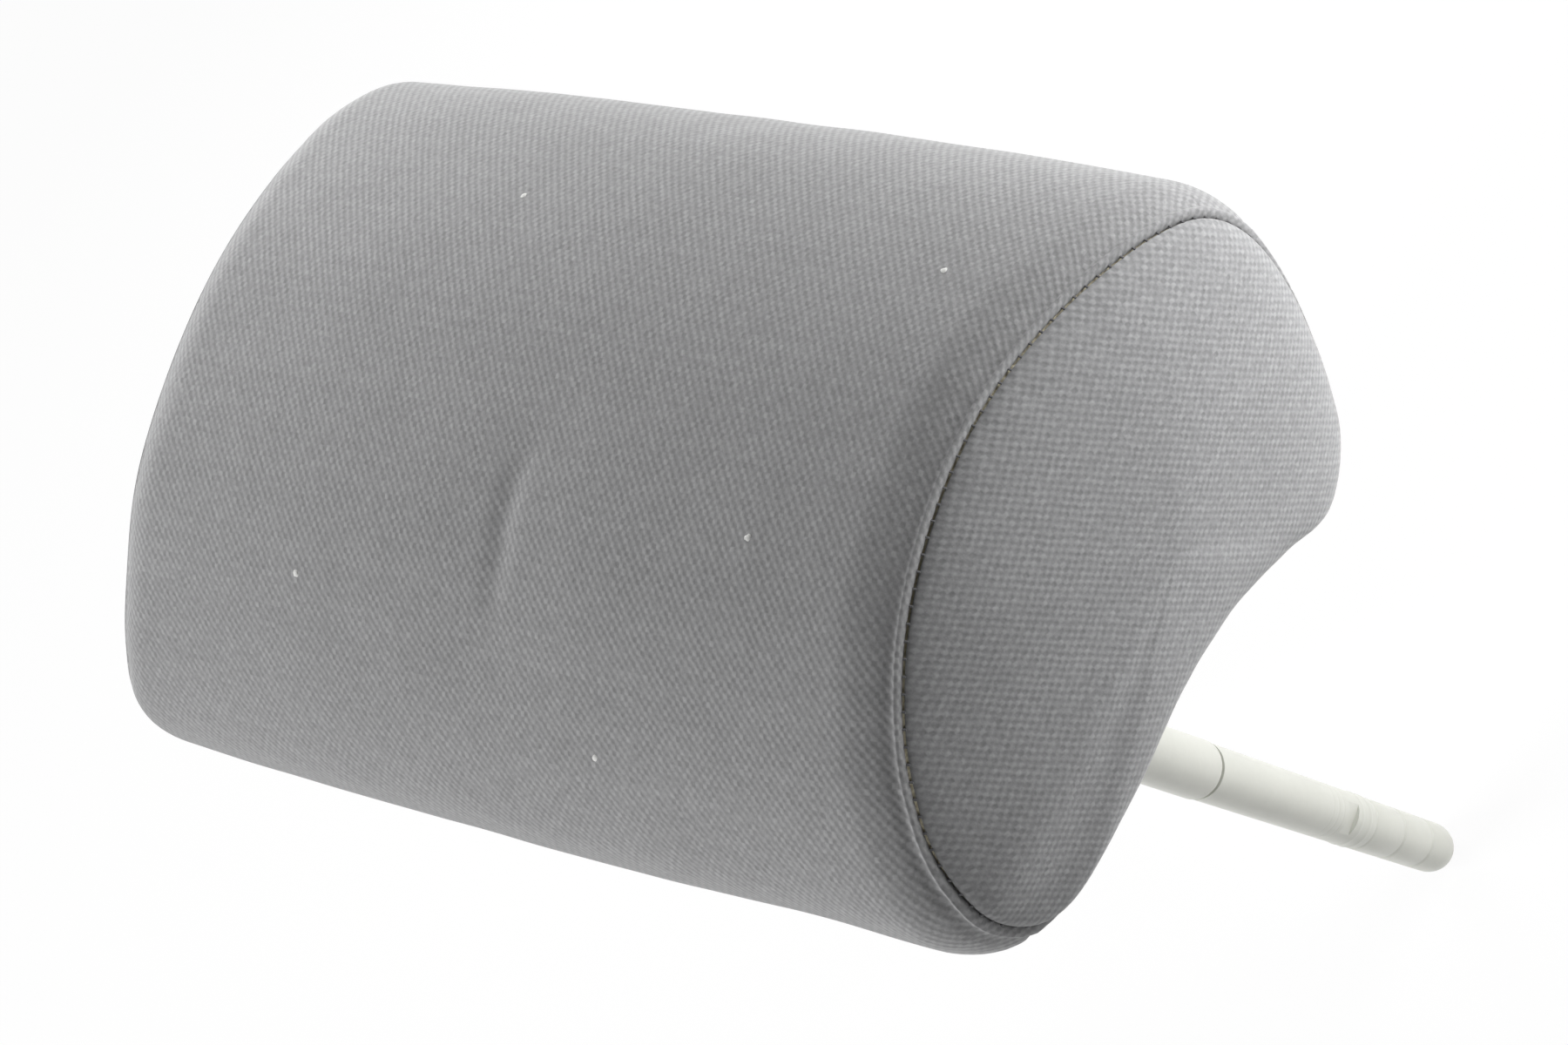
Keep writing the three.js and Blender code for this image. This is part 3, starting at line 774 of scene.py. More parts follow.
def dimple(x, y, z, depth):
    """The soft crease in the middle of the upper face."""
    if z < CREASE_FLOOR:
        return 0.0
    spot, gaps = Vector((x, y)), []
    for start, end in zip(CREASE_LINE, CREASE_LINE[1:]):
        start, along = Vector(start), Vector(end) - Vector(start)
        share = (spot - start).dot(along) / along.length_squared
        gaps.append((spot - start - along * min(max(share, 0), 1)).length)
    gap = min(gaps)
    fade = math.exp(-((y - CREASE_MIDDLE) / CREASE_HALF_LENGTH) ** 4)
    narrow = math.exp(-(gap / CREASE_HALF_WIDTH) ** 2) * fade
    broad = math.exp(-(gap / DIMPLE_HALF_WIDTH) ** 2)
    return -depth * (CREASE_SHARE * narrow + (1 - CREASE_SHARE) * broad)


def flattened(height, place, outward, side, inboard):
    """The roll's height at a place on the outline: flatter at the nose and under it, fuller at the rear."""
    start = UNDER_START_REAR if place.x > UNDER_REAR else UNDER_START
    under = smooth((-outward.y - start) / UNDER_FADE)
    beside = (1 - under) * (1 - smooth(inboard / CHANGE_REACH)) * (1.0 if side < 0 else FAR_SHARE)
    nose = smooth((-outward.x - NOSE_START) / NOSE_FADE) * beside
    rear = smooth((outward.x - REAR_START) / NOSE_FADE) * beside
    change = REAR_GAIN * rear - ROLL_UNDER_CUT * under - ROLL_NOSE_CUT * nose
    return height * (1 + change * smooth(height))


class MainPanel:
    """Places the main panel's points. Columns run from the fold in one seam, over the outer face, to
    the fold in the other seam, and back along the inner face."""

    def __init__(self, settings):
        self.roll_height = settings.roll_height / MM
        self.roll_length = settings.roll_length / MM
        self.crown = settings.crown_rise / MM
        self.lip = settings.lip_height / MM
        self.hollow = settings.hollow_depth / MM
        self.dimple_depth = settings.dimple_depth / MM
        self.thickness = settings.cloth_thickness / MM
        self.half_columns = OUTER_COLUMNS + len(FOLD)
        self.columns = 2 * self.half_columns + INNER_COLUMNS
        self.tables = {}

    def rise(self, inboard):
        """Height of the outer face above the seam, at a distance inboard of it."""
        left = 1 - min((inboard - SEAM_GAP) / self.roll_length, 1.0)
        hollow = self.hollow * math.exp(-((inboard - HOLLOW_PLACE) / HOLLOW_HALF_WIDTH) ** 2)
        return self.roll_height * (1 - left * left) - hollow + self.lip_at(inboard)

    def lip_at(self, inboard):
        """Height of the cloth's fold along the seam, at a distance inboard of it."""
        return self.lip * math.exp(-((inboard - LIP_PLACE) / LIP_HALF_WIDTH) ** 2)

    def section(self, step, half_width):
        """Distance inboard of the seam and height, for a column counted from the middle."""
        if step > OUTER_COLUMNS:
            return FOLD[step - OUTER_COLUMNS - 1]
        if step <= HALF_TOP:
            inboard = half_width - (half_width - ROLL_START) * step / HALF_TOP
        else:
            left = 1 - (step - HALF_TOP) / ROLL_COLUMNS
            inboard = ROLL_FOOT + (ROLL_START - ROLL_FOOT) * left ** ROLL_CROWDING
        return inboard, self.rise(inboard)

    def outer(self, share, side, step):
        place, outward = outline.at(share)
        half_width = seam_half_width(place.x, place.y)
        inboard, height = self.section(step, half_width)
        across = 1 - min(inboard, half_width) / half_width
        x = side * (half_width - inboard)
        offset = flattened(height, place, outward, side, inboard) + self.crown * (1 - across * across)
        if step <= OUTER_COLUMNS:
            if side > 0:
                offset -= FAR_LIP_CUT * self.lip_at(inboard)
            y, z = place + outward * offset
            offset += seam_pucker(share * outline.length + FAR_PUCKER * side, inboard)
            offset += swell(x, y, z) * smooth(inboard / SWELL_START)
            offset += dimple(x, y, z, self.dimple_depth)
        y, z = place + outward * offset
        point = levelled((x, y, z), outward, FLAP_FACE)
        return point + settling.shift(point) * smooth(inboard / FOLLOW_BAND)

    def inner(self, share, across):
        place, outward = outline.at(share)
        fold_inboard, fold_height = FOLD[-1]
        half_width = seam_half_width(place.x, place.y) - fold_inboard
        x = across * half_width
        inboard = half_width + fold_inboard - abs(x)
        offset = flattened(self.rise(inboard), place, outward, x, inboard)
        offset += self.crown * (1 - across * across)
        if x > 0:
            offset -= FAR_LIP_CUT * self.lip_at(inboard)
        at_fold = abs(across) > 0.999
        offset = fold_height if at_fold else min(offset - self.thickness - LINING_GAP, LINING_LIMIT)
        y, z = place + outward * offset
        return levelled((x, y, z), outward, FLAP_FACE + self.thickness)

    def place(self, share, column):
        arc = share * outline.length * MM
        if column <= 2 * self.half_columns:
            step = column - self.half_columns
            point = self.outer(share, -1 if step < 0 else 1, abs(step))
            return point, (arc, self.along(share, step) * MM)
        across = 1 - 2 * (column - 2 * self.half_columns) / INNER_COLUMNS
        point = self.inner(share, across)
        return point, (arc, point.x * MM)

    def along(self, share, step):
        """Length across the cloth from its middle, taken on the section without its relief."""
        place, _ = outline.at(share)
        half_width = seam_half_width(place.x, place.y)
        key = round(half_width, 1)
        if key not in self.tables:
            total, table, last = 0.0, [0.0], self.section(0, half_width)
            for k in range(1, self.half_columns + 1):
                here = self.section(k, half_width)
                total += math.hypot(here[0] - last[0], here[1] - last[1])
                table.append(total)
                last = here
            self.tables[key] = table
        return math.copysign(self.tables[key][abs(step)], step)


# Faces of the panel below this height and this near the opening may belong to it, in millimetres
OPENING_HEIGHT = 12.0
OPENING_MARGIN = 8.0


def cut_flap_opening(bm):
    """Cuts the level place out of both faces of the panel and hems the edge."""
    def within(margin):
        found = []
        for face in bm.faces:
            x, y, z = face.calc_center_median() / MM
            if (z < OPENING_HEIGHT and abs(x) < CUT_HALF_LENGTH + margin
                    and abs(y) < CUT_HALF_WIDTH + margin):
                found.append(face)
        return found

    def nearby():
        faces = within(OPENING_MARGIN)
        edges = {e for f in faces for e in f.edges}
        verts = {v for f in faces for v in f.verts}
        return faces + list(edges) + list(verts)

    planes = [((s * CUT_HALF_LENGTH * MM, 0, 0), (s, 0, 0)) for s in (-1, 1)]
    planes += [((0, s * CUT_HALF_WIDTH * MM, 0), (0, s, 0)) for s in (-1, 1)]
    for point, normal in planes:
        bmesh.ops.bisect_plane(bm, geom=nearby(), plane_co=point, plane_no=normal, dist=1e-7)
    bmesh.ops.delete(bm, geom=within(0.0), context="FACES")
    rim = [e for e in bm.edges if e.is_boundary]
    if rim:
        bmesh.ops.bridge_loops(bm, edges=rim)


class HEADREST_OT_main_panel(bpy.types.Operator):
    """Make the wrap-around main panel of the cover"""
    bl_idname = "headrest.main_panel"
    bl_label = "Main Panel"

    def execute(self, context):
        panel = MainPanel(context.scene.headrest_pad)
        bm = cloth_grid(PANEL_ROWS, panel.columns, panel.place)
        cut_flap_opening(bm)
        obj = new_object("main_panel_cloth", turned_outwards(bm), SOFT_SHARP_ANGLE)
        finish_piece(obj, finishes["main_cloth"], "main_cloth", "cover_main_panel")
        return {"FINISHED"}


# Side panels, with lengths in millimetres

SIDE_ROWS = 240
FACE_COLUMNS = 44
BACK_COLUMNS = 10
SIDE_POWER = 6
EDGE_REACH = 0.9995
SETTLE_FADE = 4

# The turned in edge of a side panel, as pairs of distance outboard of the seam and drop
SIDE_FOLD = [(0.12, -1.1), (0.0, -1.25), (-0.3, -1.6), (-1.1, -2.2), (-2.2, -2.9)]

# Unevenness of a side panel's cloth: heights, waves to the millimetre and waves round its edge
SIDE_SWELL = 0.35
SIDE_SWELL_WAVES = 0.03
SIDE_PUCKER = 0.22
SIDE_PUCKER_WAVES = 46.0
SIDE_PUCKER_START = 0.8
SIDE_PUCKER_FADE = 0.15


class SidePanel:
    """Places a side panel's points, from the middle of its face to the fold and back inside."""

    def __init__(self, settings, side):
        self.side = side
        self.dome = settings.side_dome / MM
        self.sag = settings.side_sag / MM
        self.crown = settings.side_crown / MM
        self.thickness = settings.cloth_thickness / MM
        self.columns = FACE_COLUMNS + len(SIDE_FOLD) + BACK_COLUMNS
        self.middle = seam_half_width(*outline.centre)

    def face(self, share, reach, inset, drop):
        place, outward = outline.at(share)
        rim = place + outward * drop
        y, z = outline.centre + (rim - outline.centre) * reach
        edge = seam_half_width(place.x, place.y)
        depth = self.dome - self.sag * outward.y * reach * reach
        dome = depth * math.sqrt(max(1 - reach ** SIDE_POWER, 0.0)) + self.crown * (1 - reach * reach)
        x = self.middle + (edge - self.middle) * reach + dome - inset
        if inset:
            return Vector((self.side * x, y, z))
        swelling = Vector((y * SIDE_SWELL_WAVES, z * SIDE_SWELL_WAVES, 5.0 * self.side))
        pull = Vector((share * SIDE_PUCKER_WAVES, 9.0 * self.side, reach))
        x += SIDE_SWELL * noise.noise(swelling)
        x += SIDE_PUCKER * noise.noise(pull) * smooth((reach - SIDE_PUCKER_START) / SIDE_PUCKER_FADE)
        point = Vector((self.side * x, y, z))
        return point + settling.shift(point) * smooth((1 - reach) * SETTLE_FADE)

    def place(self, share, column):
        if column <= FACE_COLUMNS:
            t = column / FACE_COLUMNS
            reach = math.sin(t * math.pi / 2)
            point = self.face(share, min(reach, EDGE_REACH), 0.0, SIDE_FOLD[0][1])
        elif column <= FACE_COLUMNS + len(SIDE_FOLD):
            outboard, drop = SIDE_FOLD[column - FACE_COLUMNS - 1]
            place, outward = outline.at(share)
            y, z = place + outward * drop
            point = Vector((self.side * (seam_half_width(place.x, place.y) + outboard), y, z))
        else:
            t = 1 - (column - FACE_COLUMNS - len(SIDE_FOLD)) / BACK_COLUMNS
            point = self.face(share, t, self.thickness + LINING_GAP, SIDE_FOLD[-1][1])
        return point, (point.y * MM, point.z * MM)


class HEADREST_OT_side_panels(bpy.types.Operator):
    """Make the two sewn side panels of the cover"""
    bl_idname = "headrest.side_panels"
    bl_label = "Side Panels"

    def execute(self, context):
        for name, side in (("left", -1), ("right", 1)):
            panel = SidePanel(context.scene.headrest_pad, side)
            bm = cloth_grid(SIDE_ROWS, panel.columns, panel.place)
            obj = new_object(f"side_panel_cloth_{name}", turned_outwards(bm), SOFT_SHARP_ANGLE)
            finish_piece(obj, finishes["side_cloth"], "side_cloth", f"cover_side_{name}")
        return {"FINISHED"}


# Seam thread, in millimetres: each stitch runs between two pairs of distance inboard and height

STITCH_PITCH = 3.4
STITCH_RADIUS = 0.28
STITCH_START = (0.65, -0.75)
STITCH_END = (0.1, -1.0)
STITCH_OVERRUN = 0.8


class HEADREST_OT_seam_thread(bpy.types.Operator):
    """Make the thread that bridges each side seam"""
    bl_idname = "headrest.seam_thread"
    bl_label = "Seam Thread"

    def execute(self, context):
        count = round(outline.length / STITCH_PITCH)
        for name, side in (("left", -1), ("right", 1)):
            bm = bmesh.new()
            for i in range(count):
                place, outward = outline.at(i / count)
                edge = seam_half_width(place.x, place.y)
                start, end = [
                    Vector((side * (edge - inboard), *(place + outward * height))) * MM
                    for inboard, height in (STITCH_START, STITCH_END)]
                made = bmesh.ops.create_cone(
                    bm, cap_ends=True, segments=6, radius1=STITCH_RADIUS * MM,
                    radius2=STITCH_RADIUS * MM, depth=(end - start).length + STITCH_OVERRUN * MM)
                turn = (end - start).to_track_quat("Z", "Y").to_matrix().to_4x4()
                seat = Matrix.Translation((start + end) / 2) @ turn
                bmesh.ops.transform(bm, verts=made["verts"], matrix=seat)
            obj = new_object(f"seam_thread_{name}", bm)
            finish_piece(obj, finishes["thread"], "side_cloth")
        return {"FINISHED"}


# Posts, with lengths in millimetres

BAR_BORE = 4.4
SLEEVE_RIM = 1.5
SEAT_FOOT = 13.8
SEAT_STEP = 1.5
END_DOME = 6.0
END_FLAT = 2.2
END_WALL = 12.0
NOTCH_PLACE = -148.1
NOTCH_HEIGHT = 4.2
NOTCH_LEAN = 7.0
NOTCH_REACH = 6.0
NOTCH_LENGTH = 20.0

# Grooves near the tip: height of the middle, half height, and share of the groove's depth
GROOVES = [(-183.1, 0.75, 1.0), (-170.9, 0.7, 1.0), (-158.5, 0.6, 0.8)]

# Fine ribs and lines above them: height of the middle, half height, and how far they stand out
RIBS = [
    (-155.6, 0.8, 0.16), (-152.2, 0.8, 0.16), (-144.2, 0.5, -0.07), (-142.0, 0.5, -0.07),
    (-139.8, 0.5, -0.05),
]
RIB_STEPS = 4


def profile_of_end(settings):
    """Radius and height pairs of the end piece, from its tip up, with grooves and fine ribs."""
    top, foot = SLEEVE_FOOT - CLEARANCE, END_FOOT
    top_radius, foot_radius = settings.end_top_radius / MM, settings.end_foot_radius / MM

    def radius(z):
        return top_radius + (foot_radius - top_radius) * (top - z) / (top - foot - END_DOME)

    points = [(0.0, foot), (END_FLAT, foot)]
    points += quarter_round(END_FLAT, foot, foot_radius - END_FLAT, END_DOME, 10)
    groove = settings.groove_depth / MM
    for middle, half, height in [(z, half, -share * groove) for z, half, share in GROOVES] + RIBS:
        for step in range(-RIB_STEPS, RIB_STEPS + 1):
            z = middle + half * step / RIB_STEPS
            lift = height * 0.5 * (1 + math.cos(math.pi * step / RIB_STEPS))
            points.append((radius(z) + lift, z))
    floor = foot + END_WALL
    return points + [(top_radius, top), (BAR_BORE, top), (BAR_BORE, floor), (0.0, floor)]


def profile_of_sleeve(settings):
    top_radius, foot_radius = settings.sleeve_top_radius / MM, settings.sleeve_foot_radius / MM
    seat_radius = top_radius + SEAT_STEP
    points = [(BAR_BORE, SLEEVE_FOOT), (foot_radius - SLEEVE_RIM, SLEEVE_FOOT)]
    points += quarter_round(foot_radius - SLEEVE_RIM, SLEEVE_FOOT, SLEEVE_RIM, SLEEVE_RIM, 6)
    points += [(top_radius, SEAT_FOOT), (seat_radius, SEAT_FOOT), (seat_radius, SLEEVE_TOP)]
    return points + [(BAR_BORE, SLEEVE_TOP)]


def cut_notch(obj, side, settings):
    """Cuts the latch notch in the outer side of an end piece, leaning a little."""
    share = (SLEEVE_FOOT - NOTCH_PLACE) / (SLEEVE_FOOT - END_FOOT - END_DOME)
    radius = settings.end_top_radius + (settings.end_foot_radius - settings.end_top_radius) * share
    floor = (radius - settings.notch_depth) / MM
    bm = bmesh.new()
    bmesh.ops.create_cube(bm, size=1.0)
    bmesh.ops.scale(
        bm, vec=Vector((NOTCH_REACH, NOTCH_LENGTH, NOTCH_HEIGHT)) * MM, verts=bm.verts)
    lean = Matrix.Rotation(math.radians(NOTCH_LEAN), 3, "X")
    bmesh.ops.rotate(bm, matrix=lean, verts=bm.verts)
    centre = Vector((side * (POST_X + floor + NOTCH_REACH / 2), 0, NOTCH_PLACE)) * MM
    bmesh.ops.translate(bm, vec=centre, verts=bm.verts)
    cutter = new_object("notch_cutter", bm)
    modifier = obj.modifiers.new("notch", "BOOLEAN")
    modifier.operation = "DIFFERENCE"
    modifier.solver = "EXACT"
    modifier.object = cutter
    graph = bpy.context.evaluated_depsgraph_get()
    cut = bpy.data.meshes.new_from_object(obj.evaluated_get(graph))
    obj.modifiers.clear()
    obj.data = cut
    obj.data.name = obj.name
    bpy.data.objects.remove(cutter)
    cut.set_sharp_from_angle(angle=math.radians(SHARP_ANGLE))


class HEADREST_OT_posts(bpy.types.Operator):
    """Make both posts: the plain sleeves and the end pieces with notch, ribs and grooves"""
    bl_idname = "headrest.posts"
    bl_label = "Posts"

    def execute(self, context):
        settings = context.scene.headrest_post
        for name, side in (("left", -1), ("right", 1)):
            bm = spun(profile_of_sleeve(settings), side * POST_X)
            sleeve = new_object(f"post_sleeve_shell_{name}", bm)
            finish_piece(sleeve, finishes["post_plastic"], "post_plastic", f"post_sleeve_{name}")
            bm = spun(profile_of_end(settings), side * POST_X)
            end = new_object(f"post_end_shell_{name}", bm)
            cut_notch(end, side, settings)
            finish_piece(end, finishes["post_plastic"], "post_plastic", f"post_end_{name}")
        return {"FINISHED"}


# Underside: flap, closing strips and bezels, in millimetres

FLAP_CORNER = 3.0
FLAP_HOLE = 9.5
STRIP_HEIGHT = 3.0
STRIP_ROUND = 0.8
BEZEL_BORE = 7.4
BEZEL_NECK = 9.2
BEZEL_RADIUS = 13.0
BEZEL_ROUND = 1.4
BEZEL_BEVEL = 0.4
BEZEL_THICKNESS = 3.0
BEZEL_HEIGHT = 13.5


class HEADREST_OT_underside(bpy.types.Operator):
    """Make the flap under the pad, its closing strips and the bezels round the posts"""
    bl_idname = "headrest.underside"
    bl_label = "Underside"

    def flap(self, settings):
        bm = bmesh.new()
        bmesh.ops.create_grid(bm, x_segments=1, y_segments=1, size=0.5)
        bmesh.ops.scale(bm, vec=(FLAP_LENGTH, FLAP_WIDTH, 1), verts=bm.verts)
        bmesh.ops.bevel(
            bm, geom=bm.verts[:], offset=FLAP_CORNER, segments=6, profile=0.5, affect="VERTICES",
            material=-1)
        bmesh.ops.delete(bm, geom=bm.faces[:], context="FACES_ONLY")
        for side in (-1, 1):
            middle = Matrix.Translation((side * POST_X, 0, 0))
            bmesh.ops.create_circle(bm, segments=48, radius=FLAP_HOLE, matrix=middle)
        bmesh.ops.triangle_fill(bm, use_beauty=True, edges=bm.edges[:])
        made = bmesh.ops.extrude_face_region(bm, geom=bm.faces[:])
        raised = [v for v in made["geom"] if isinstance(v, bmesh.types.BMVert)]
        bmesh.ops.translate(bm, vec=(0, 0, settings.cloth_thickness / MM), verts=raised)
        bmesh.ops.translate(bm, vec=(0, 0, FLAP_FACE), verts=bm.verts)
        bmesh.ops.scale(bm, vec=(MM, MM, MM), verts=bm.verts)
        layer = bm.loops.layers.uv.new("UVMap")
        for face in bm.faces:
            for loop in face.loops:
                loop[layer].uv = (loop.vert.co.y, loop.vert.co.x)
        obj = new_object("flap_cloth", turned_outwards(bm), FLAT_SHARP_ANGLE)
        finish_piece(obj, finishes["main_cloth"], "main_cloth", "cover_underside_flap")

    def strips(self):
        for name, side in (("front", -1), ("rear", 1)):
            bm = bmesh.new()
            bmesh.ops.create_cube(bm, size=1.0)
            size = Vector((FLAP_LENGTH, STRIP_WIDTH, STRIP_HEIGHT)) * MM
            bmesh.ops.scale(bm, vec=size, verts=bm.verts)
            bmesh.ops.bevel(
                bm, geom=bm.edges[:], offset=STRIP_ROUND * MM, segments=3, profile=0.5,
                affect="EDGES", material=-1)
            y = side * (FLAP_WIDTH / 2 + CLEARANCE + STRIP_WIDTH / 2)
            middle = Vector((0, y, FLAP_FACE + STRIP_HEIGHT / 2)) * MM
            bmesh.ops.translate(bm, vec=middle, verts=bm.verts)
            obj = new_object(f"closing_strip_bar_{name}", bm, FLAT_SHARP_ANGLE)
            finish_piece(obj, finishes["strip_plastic"], "strip_plastic", f"closing_strip_{name}")

    def bezels(self):
        points = [(BEZEL_BORE, BEZEL_BEVEL), (BEZEL_BORE + BEZEL_BEVEL, 0.0)]
        points += quarter_round(BEZEL_RADIUS - BEZEL_ROUND, 0.0, BEZEL_ROUND, BEZEL_ROUND, 6, first=0)
        points += [(BEZEL_RADIUS, BEZEL_THICKNESS), (BEZEL_NECK, BEZEL_THICKNESS)]
        points += [(BEZEL_NECK, BEZEL_HEIGHT), (BEZEL_BORE, BEZEL_HEIGHT)]
        for name, side in (("left", -1), ("right", 1)):
            obj = new_object(f"post_bezel_ring_{name}", spun(points, side * POST_X))
            finish_piece(obj, finishes["bezel_plastic"], "bezel_plastic", f"post_bezel_{name}")

    def execute(self, context):
        self.flap(context.scene.headrest_pad)
        self.strips()
        self.bezels()
        return {"FINISHED"}


# Lint: places near the cloth and the size of a speck, in millimetres

LINT = [
    (28.9, -77.2, 65.9), (-88.6, -74.8, 65.8), (-73.4, -14.1, 83.8), (49.3, 12.1, 80.8),
    (-37.5, 34.3, 70.9),
]
LINT_RADIUS = 0.75
LINT_FLATNESS = 0.35
LINT_ROUGHNESS = 0.45
LINT_WAVES = 1400


class HEADREST_OT_lint(bpy.types.Operator):
    """Lay a few specks of lint on the main panel"""
    bl_idname = "headrest.lint"
    bl_label = "Lint"

    def execute(self, context):
        panel = bpy.data.objects["main_panel_cloth"]
        bm = bmesh.new()
        for i, spot in enumerate(LINT):
            found, place, normal, _ = panel.closest_point_on_mesh(Vector(spot) * MM)
            if not found:
                raise RuntimeError("a lint speck has no cloth under it")
            made = bmesh.ops.create_icosphere(bm, subdivisions=2, radius=LINT_RADIUS * MM)
            for vert in made["verts"]:
                lump = noise.noise(vert.co * LINT_WAVES + Vector((i, 0, 0)))
                vert.co *= 1 + LINT_ROUGHNESS * lump
                vert.co.z *= LINT_FLATNESS
            turn = normal.to_track_quat("Z", "Y").to_matrix().to_4x4()
            bmesh.ops.transform(bm, verts=made["verts"], matrix=Matrix.Translation(place) @ turn)
        obj = new_object("lint_specks", bm)
        finish_piece(obj, finishes["lint"], "main_cloth")
        return {"FINISHED"}


# Inner parts and finishes

# The finish of each part inside the pad
INNER = {
    "foam_pad": "pad_foam", "steel_bar": "bar_steel",
    "carrier_front_half": "carrier_plastic", "carrier_rear_half": "carrier_plastic",
    "carrier_screw_lower_left": "screw_steel", "carrier_screw_upper_left": "screw_steel",
    "carrier_screw_lower_right": "screw_steel", "carrier_screw_upper_right": "screw_steel",
}

# Colour and roughness of each plastic, then the cells of its skin to the metre and their depth
PLASTICS = {
    "thread": ((0.16, 0.16, 0.165), 0.8, 4000.0),
    "lint": ((0.72, 0.72, 0.70), 0.9, 3000.0),
    "bezel_plastic": ((0.58, 0.58, 0.54), 0.55, 1400.0, 2 * SKIN_DEPTH),
    "strip_plastic": ((0.03, 0.03, 0.032), 0.5),
    "carrier_plastic": ((0.05, 0.05, 0.052), 0.6),
}

# Colour and roughness of each steel
STEELS = {"bar_steel": ((0.42, 0.42, 0.43), 0.35), "screw_steel": ((0.62, 0.60, 0.52), 0.3)}

POST_ROUGHNESS = 0.38
MAIN_TWILL = 0.3
SIDE_TWILL = 0.05
SIDE_GRAIN_TURN = 50.0


class HEADREST_OT_finishes(bpy.types.Operator):
    """Make every material, and finish the parts that stay inside the pad"""
    bl_idname = "headrest.finishes"
    bl_label = "Finishes"

    def execute(self, context):
        pad, post = context.scene.headrest_pad, context.scene.headrest_post
        groups = {"weave": weave_group(), "mottle": mottle_group(), "grain": grain_group()}
        finishes["main_cloth"] = cloth_material(
            "main_cloth", groups, pad.main_colour, MAIN_WEAVE, MAIN_TWILL)
        finishes["side_cloth"] = cloth_material(
            "side_cloth", groups, pad.side_colour, SIDE_WEAVE, SIDE_TWILL, SIDE_GRAIN_TURN)
        finishes["post_plastic"] = plastic_material(
            "post_plastic", groups, post.colour, POST_ROUGHNESS)
        for name, values in PLASTICS.items():
            finishes[name] = plastic_material(name, groups, *values)
        for name, values in STEELS.items():
            finishes[name] = steel_material(name, groups, *values)
        finishes["pad_foam"] = foam_material("pad_foam", groups)
        for node, finish in INNER.items():
            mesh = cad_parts[node].data
            mesh.materials.clear()
            mesh.materials.append(finishes[finish])
        return {"FINISHED"}


# Stage

CAMERA_PLACE = (-0.70124, 0.05066, 0.78602)
CAMERA_TARGET = (-0.01897, -0.02537, 0.01300)
SENSOR_WIDTH = 36.0
LAMP_AIM = 0.03
FLOOR_SIZE = 6.0
FLOOR_GAP = 0.0005
FLOOR_COLOUR = (0.88, 0.88, 0.88, 1)
FLOOR_GLOW = 0.93
WHITE = (1, 1, 1, 1)

# Name, azimuth and elevation in degrees, distance and size in metres, power in watts
LAMPS = [
    ("rear_key", 45, 40, 1.6, 0.8, 22.5),
    ("rear_low", 125, 8, 1.6, 0.8, 4.6),
    ("nose_left", 325, 15, 0.4, 0.3, 1.0),
    ("nose_top", 300, 25, 0.4, 0.3, 0.33),
    ("side_nose", 230, -4, 0.4, 0.3, 1.7),
    ("posts_low", 215, -42, 0.45, 0.2, 0.4),
]


def seen_directly(t):
    """One for what the camera sees straight on, in a mirror or through glass, and nothing elsewhere."""
    seen = t.node("ShaderNodeLightPath").outputs
    direct = t.math("MAXIMUM", seen["Is Camera Ray"], seen["Is Glossy Ray"])
    return t.math("MAXIMUM", direct, seen["Is Transmission Ray"])


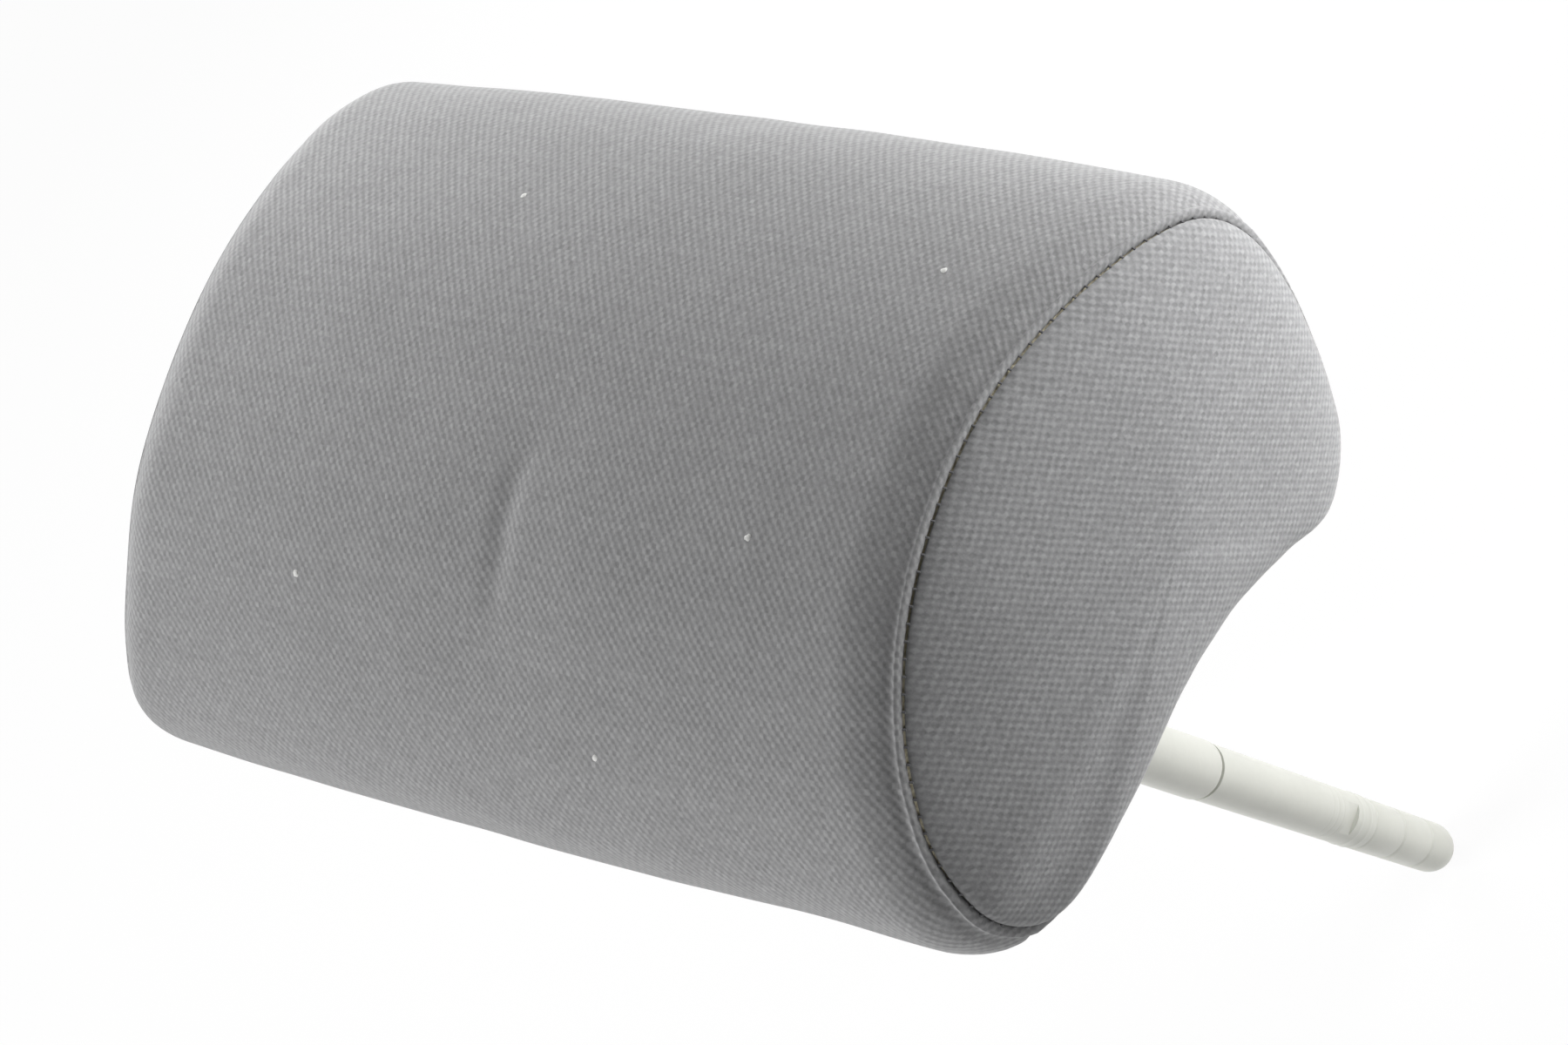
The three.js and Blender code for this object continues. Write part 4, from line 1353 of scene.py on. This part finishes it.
class HEADREST_OT_stage(bpy.types.Operator):
    """Lay a pale floor and set the lamps, the room and the camera"""
    bl_idname = "headrest.stage"
    bl_label = "Stage"

    def floor(self):
        bm = bmesh.new()
        bmesh.ops.create_grid(bm, x_segments=8, y_segments=8, size=FLOOR_SIZE)
        bmesh.ops.translate(bm, vec=(0, 0, END_FOOT * MM - FLOOR_GAP), verts=bm.verts)
        obj = new_object("floor", bm)
        material, t, shader = new_material("floor_white")
        shader.inputs["Base Color"].default_value = FLOOR_COLOUR
        shader.inputs["Roughness"].default_value = 0.9
        glow = t.node("ShaderNodeEmission", {"Color": WHITE, "Strength": 1.0})
        blend = t.node("ShaderNodeMixShader", {0: t.math("MULTIPLY", seen_directly(t), FLOOR_GLOW)})
        t.put(blend.inputs[1], shader.outputs[0])
        t.put(blend.inputs[2], glow.outputs[0])
        output = next(n for n in material.node_tree.nodes if n.type == "OUTPUT_MATERIAL")
        t.put(output.inputs[0], blend.outputs[0])
        material.cycles.emission_sampling = "NONE"
        obj.data.materials.append(material)

    def lamp(self, name, azimuth, elevation, distance, size, power):
        data = bpy.data.lights.new(name, "AREA")
        data.shape = "SQUARE"
        data.size = size
        data.energy = power
        obj = bpy.data.objects.new(name, data)
        bpy.context.scene.collection.objects.link(obj)
        raised = Matrix.Rotation(math.radians(-elevation), 3, "Y") @ Vector((1, 0, 0))
        away = Matrix.Rotation(math.radians(azimuth), 3, "Z") @ raised
        obj.location = away * distance + Vector((0, 0, LAMP_AIM))
        obj.rotation_euler = (-away).to_track_quat("-Z", "Y").to_euler()

    def room(self, ambient):
        world = bpy.data.worlds.new("room")
        bpy.context.scene.world = world
        world.use_nodes = True
        t = Tree(world.node_tree)
        back = world.node_tree.nodes["Background"]
        t.put(back.inputs["Color"], WHITE)
        t.put(back.inputs["Strength"], t.span(seen_directly(t), 0, 1, ambient, 1.0))

    def execute(self, context):
        settings = context.scene.headrest_stage
        self.floor()
        for name, azimuth, elevation, distance, size, power in LAMPS:
            self.lamp(name, azimuth, elevation, distance, size, power * settings.lamp_share)
        self.room(settings.ambient)
        data = bpy.data.cameras.new("camera")
        data.lens = settings.lens
        data.sensor_width = SENSOR_WIDTH
        data.clip_start = 0.05
        data.clip_end = 50.0
        camera = bpy.data.objects.new("camera", data)
        context.scene.collection.objects.link(camera)
        away = Vector(CAMERA_TARGET) - Vector(CAMERA_PLACE)
        turn = away.to_track_quat("-Z", "Y").to_matrix() @ Matrix.Rotation(-settings.roll, 3, "Z")
        camera.matrix_world = Matrix.Translation(CAMERA_PLACE) @ turn.to_4x4()
        context.scene.camera = camera
        context.scene.view_settings.view_transform = "Standard"
        return {"FINISHED"}


OPERATORS = [
    HEADREST_OT_finishes, HEADREST_OT_settling, HEADREST_OT_main_panel, HEADREST_OT_side_panels,
    HEADREST_OT_seam_thread, HEADREST_OT_underside, HEADREST_OT_posts, HEADREST_OT_lint,
    HEADREST_OT_stage,
]


class HEADREST_PT_sidebar(bpy.types.Panel):
    """Lists the operators in the order that they run"""
    bl_idname = "HEADREST_PT_sidebar"
    bl_label = "Headrest"
    bl_space_type = "VIEW_3D"
    bl_region_type = "UI"
    bl_category = "Headrest"

    def draw(self, context):
        for name in GROUPS:
            group = getattr(context.scene, name)
            box = self.layout.box()
            for key in group.bl_rna.properties.keys():
                if key not in ("name", "rna_type"):
                    box.prop(group, key)
        for operator in OPERATORS:
            self.layout.operator(operator.bl_idname)


GROUPS = {
    "headrest_pad": HeadrestPadSettings, "headrest_post": HeadrestPostSettings,
    "headrest_stage": HeadrestStageSettings,
}


def register():
    for made in [*GROUPS.values(), *OPERATORS, HEADREST_PT_sidebar]:
        bpy.utils.register_class(made)
    for key, group in GROUPS.items():
        setattr(bpy.types.Scene, key, bpy.props.PointerProperty(type=group))


def unregister():
    for key in GROUPS:
        delattr(bpy.types.Scene, key)
    for made in reversed([*GROUPS.values(), *OPERATORS, HEADREST_PT_sidebar]):
        bpy.utils.unregister_class(made)


def main():
    register()
    for operator in OPERATORS:
        group, name = operator.bl_idname.split(".")
        getattr(getattr(bpy.ops, group), name)()
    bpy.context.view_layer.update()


if __name__ == "__main__":
    main()
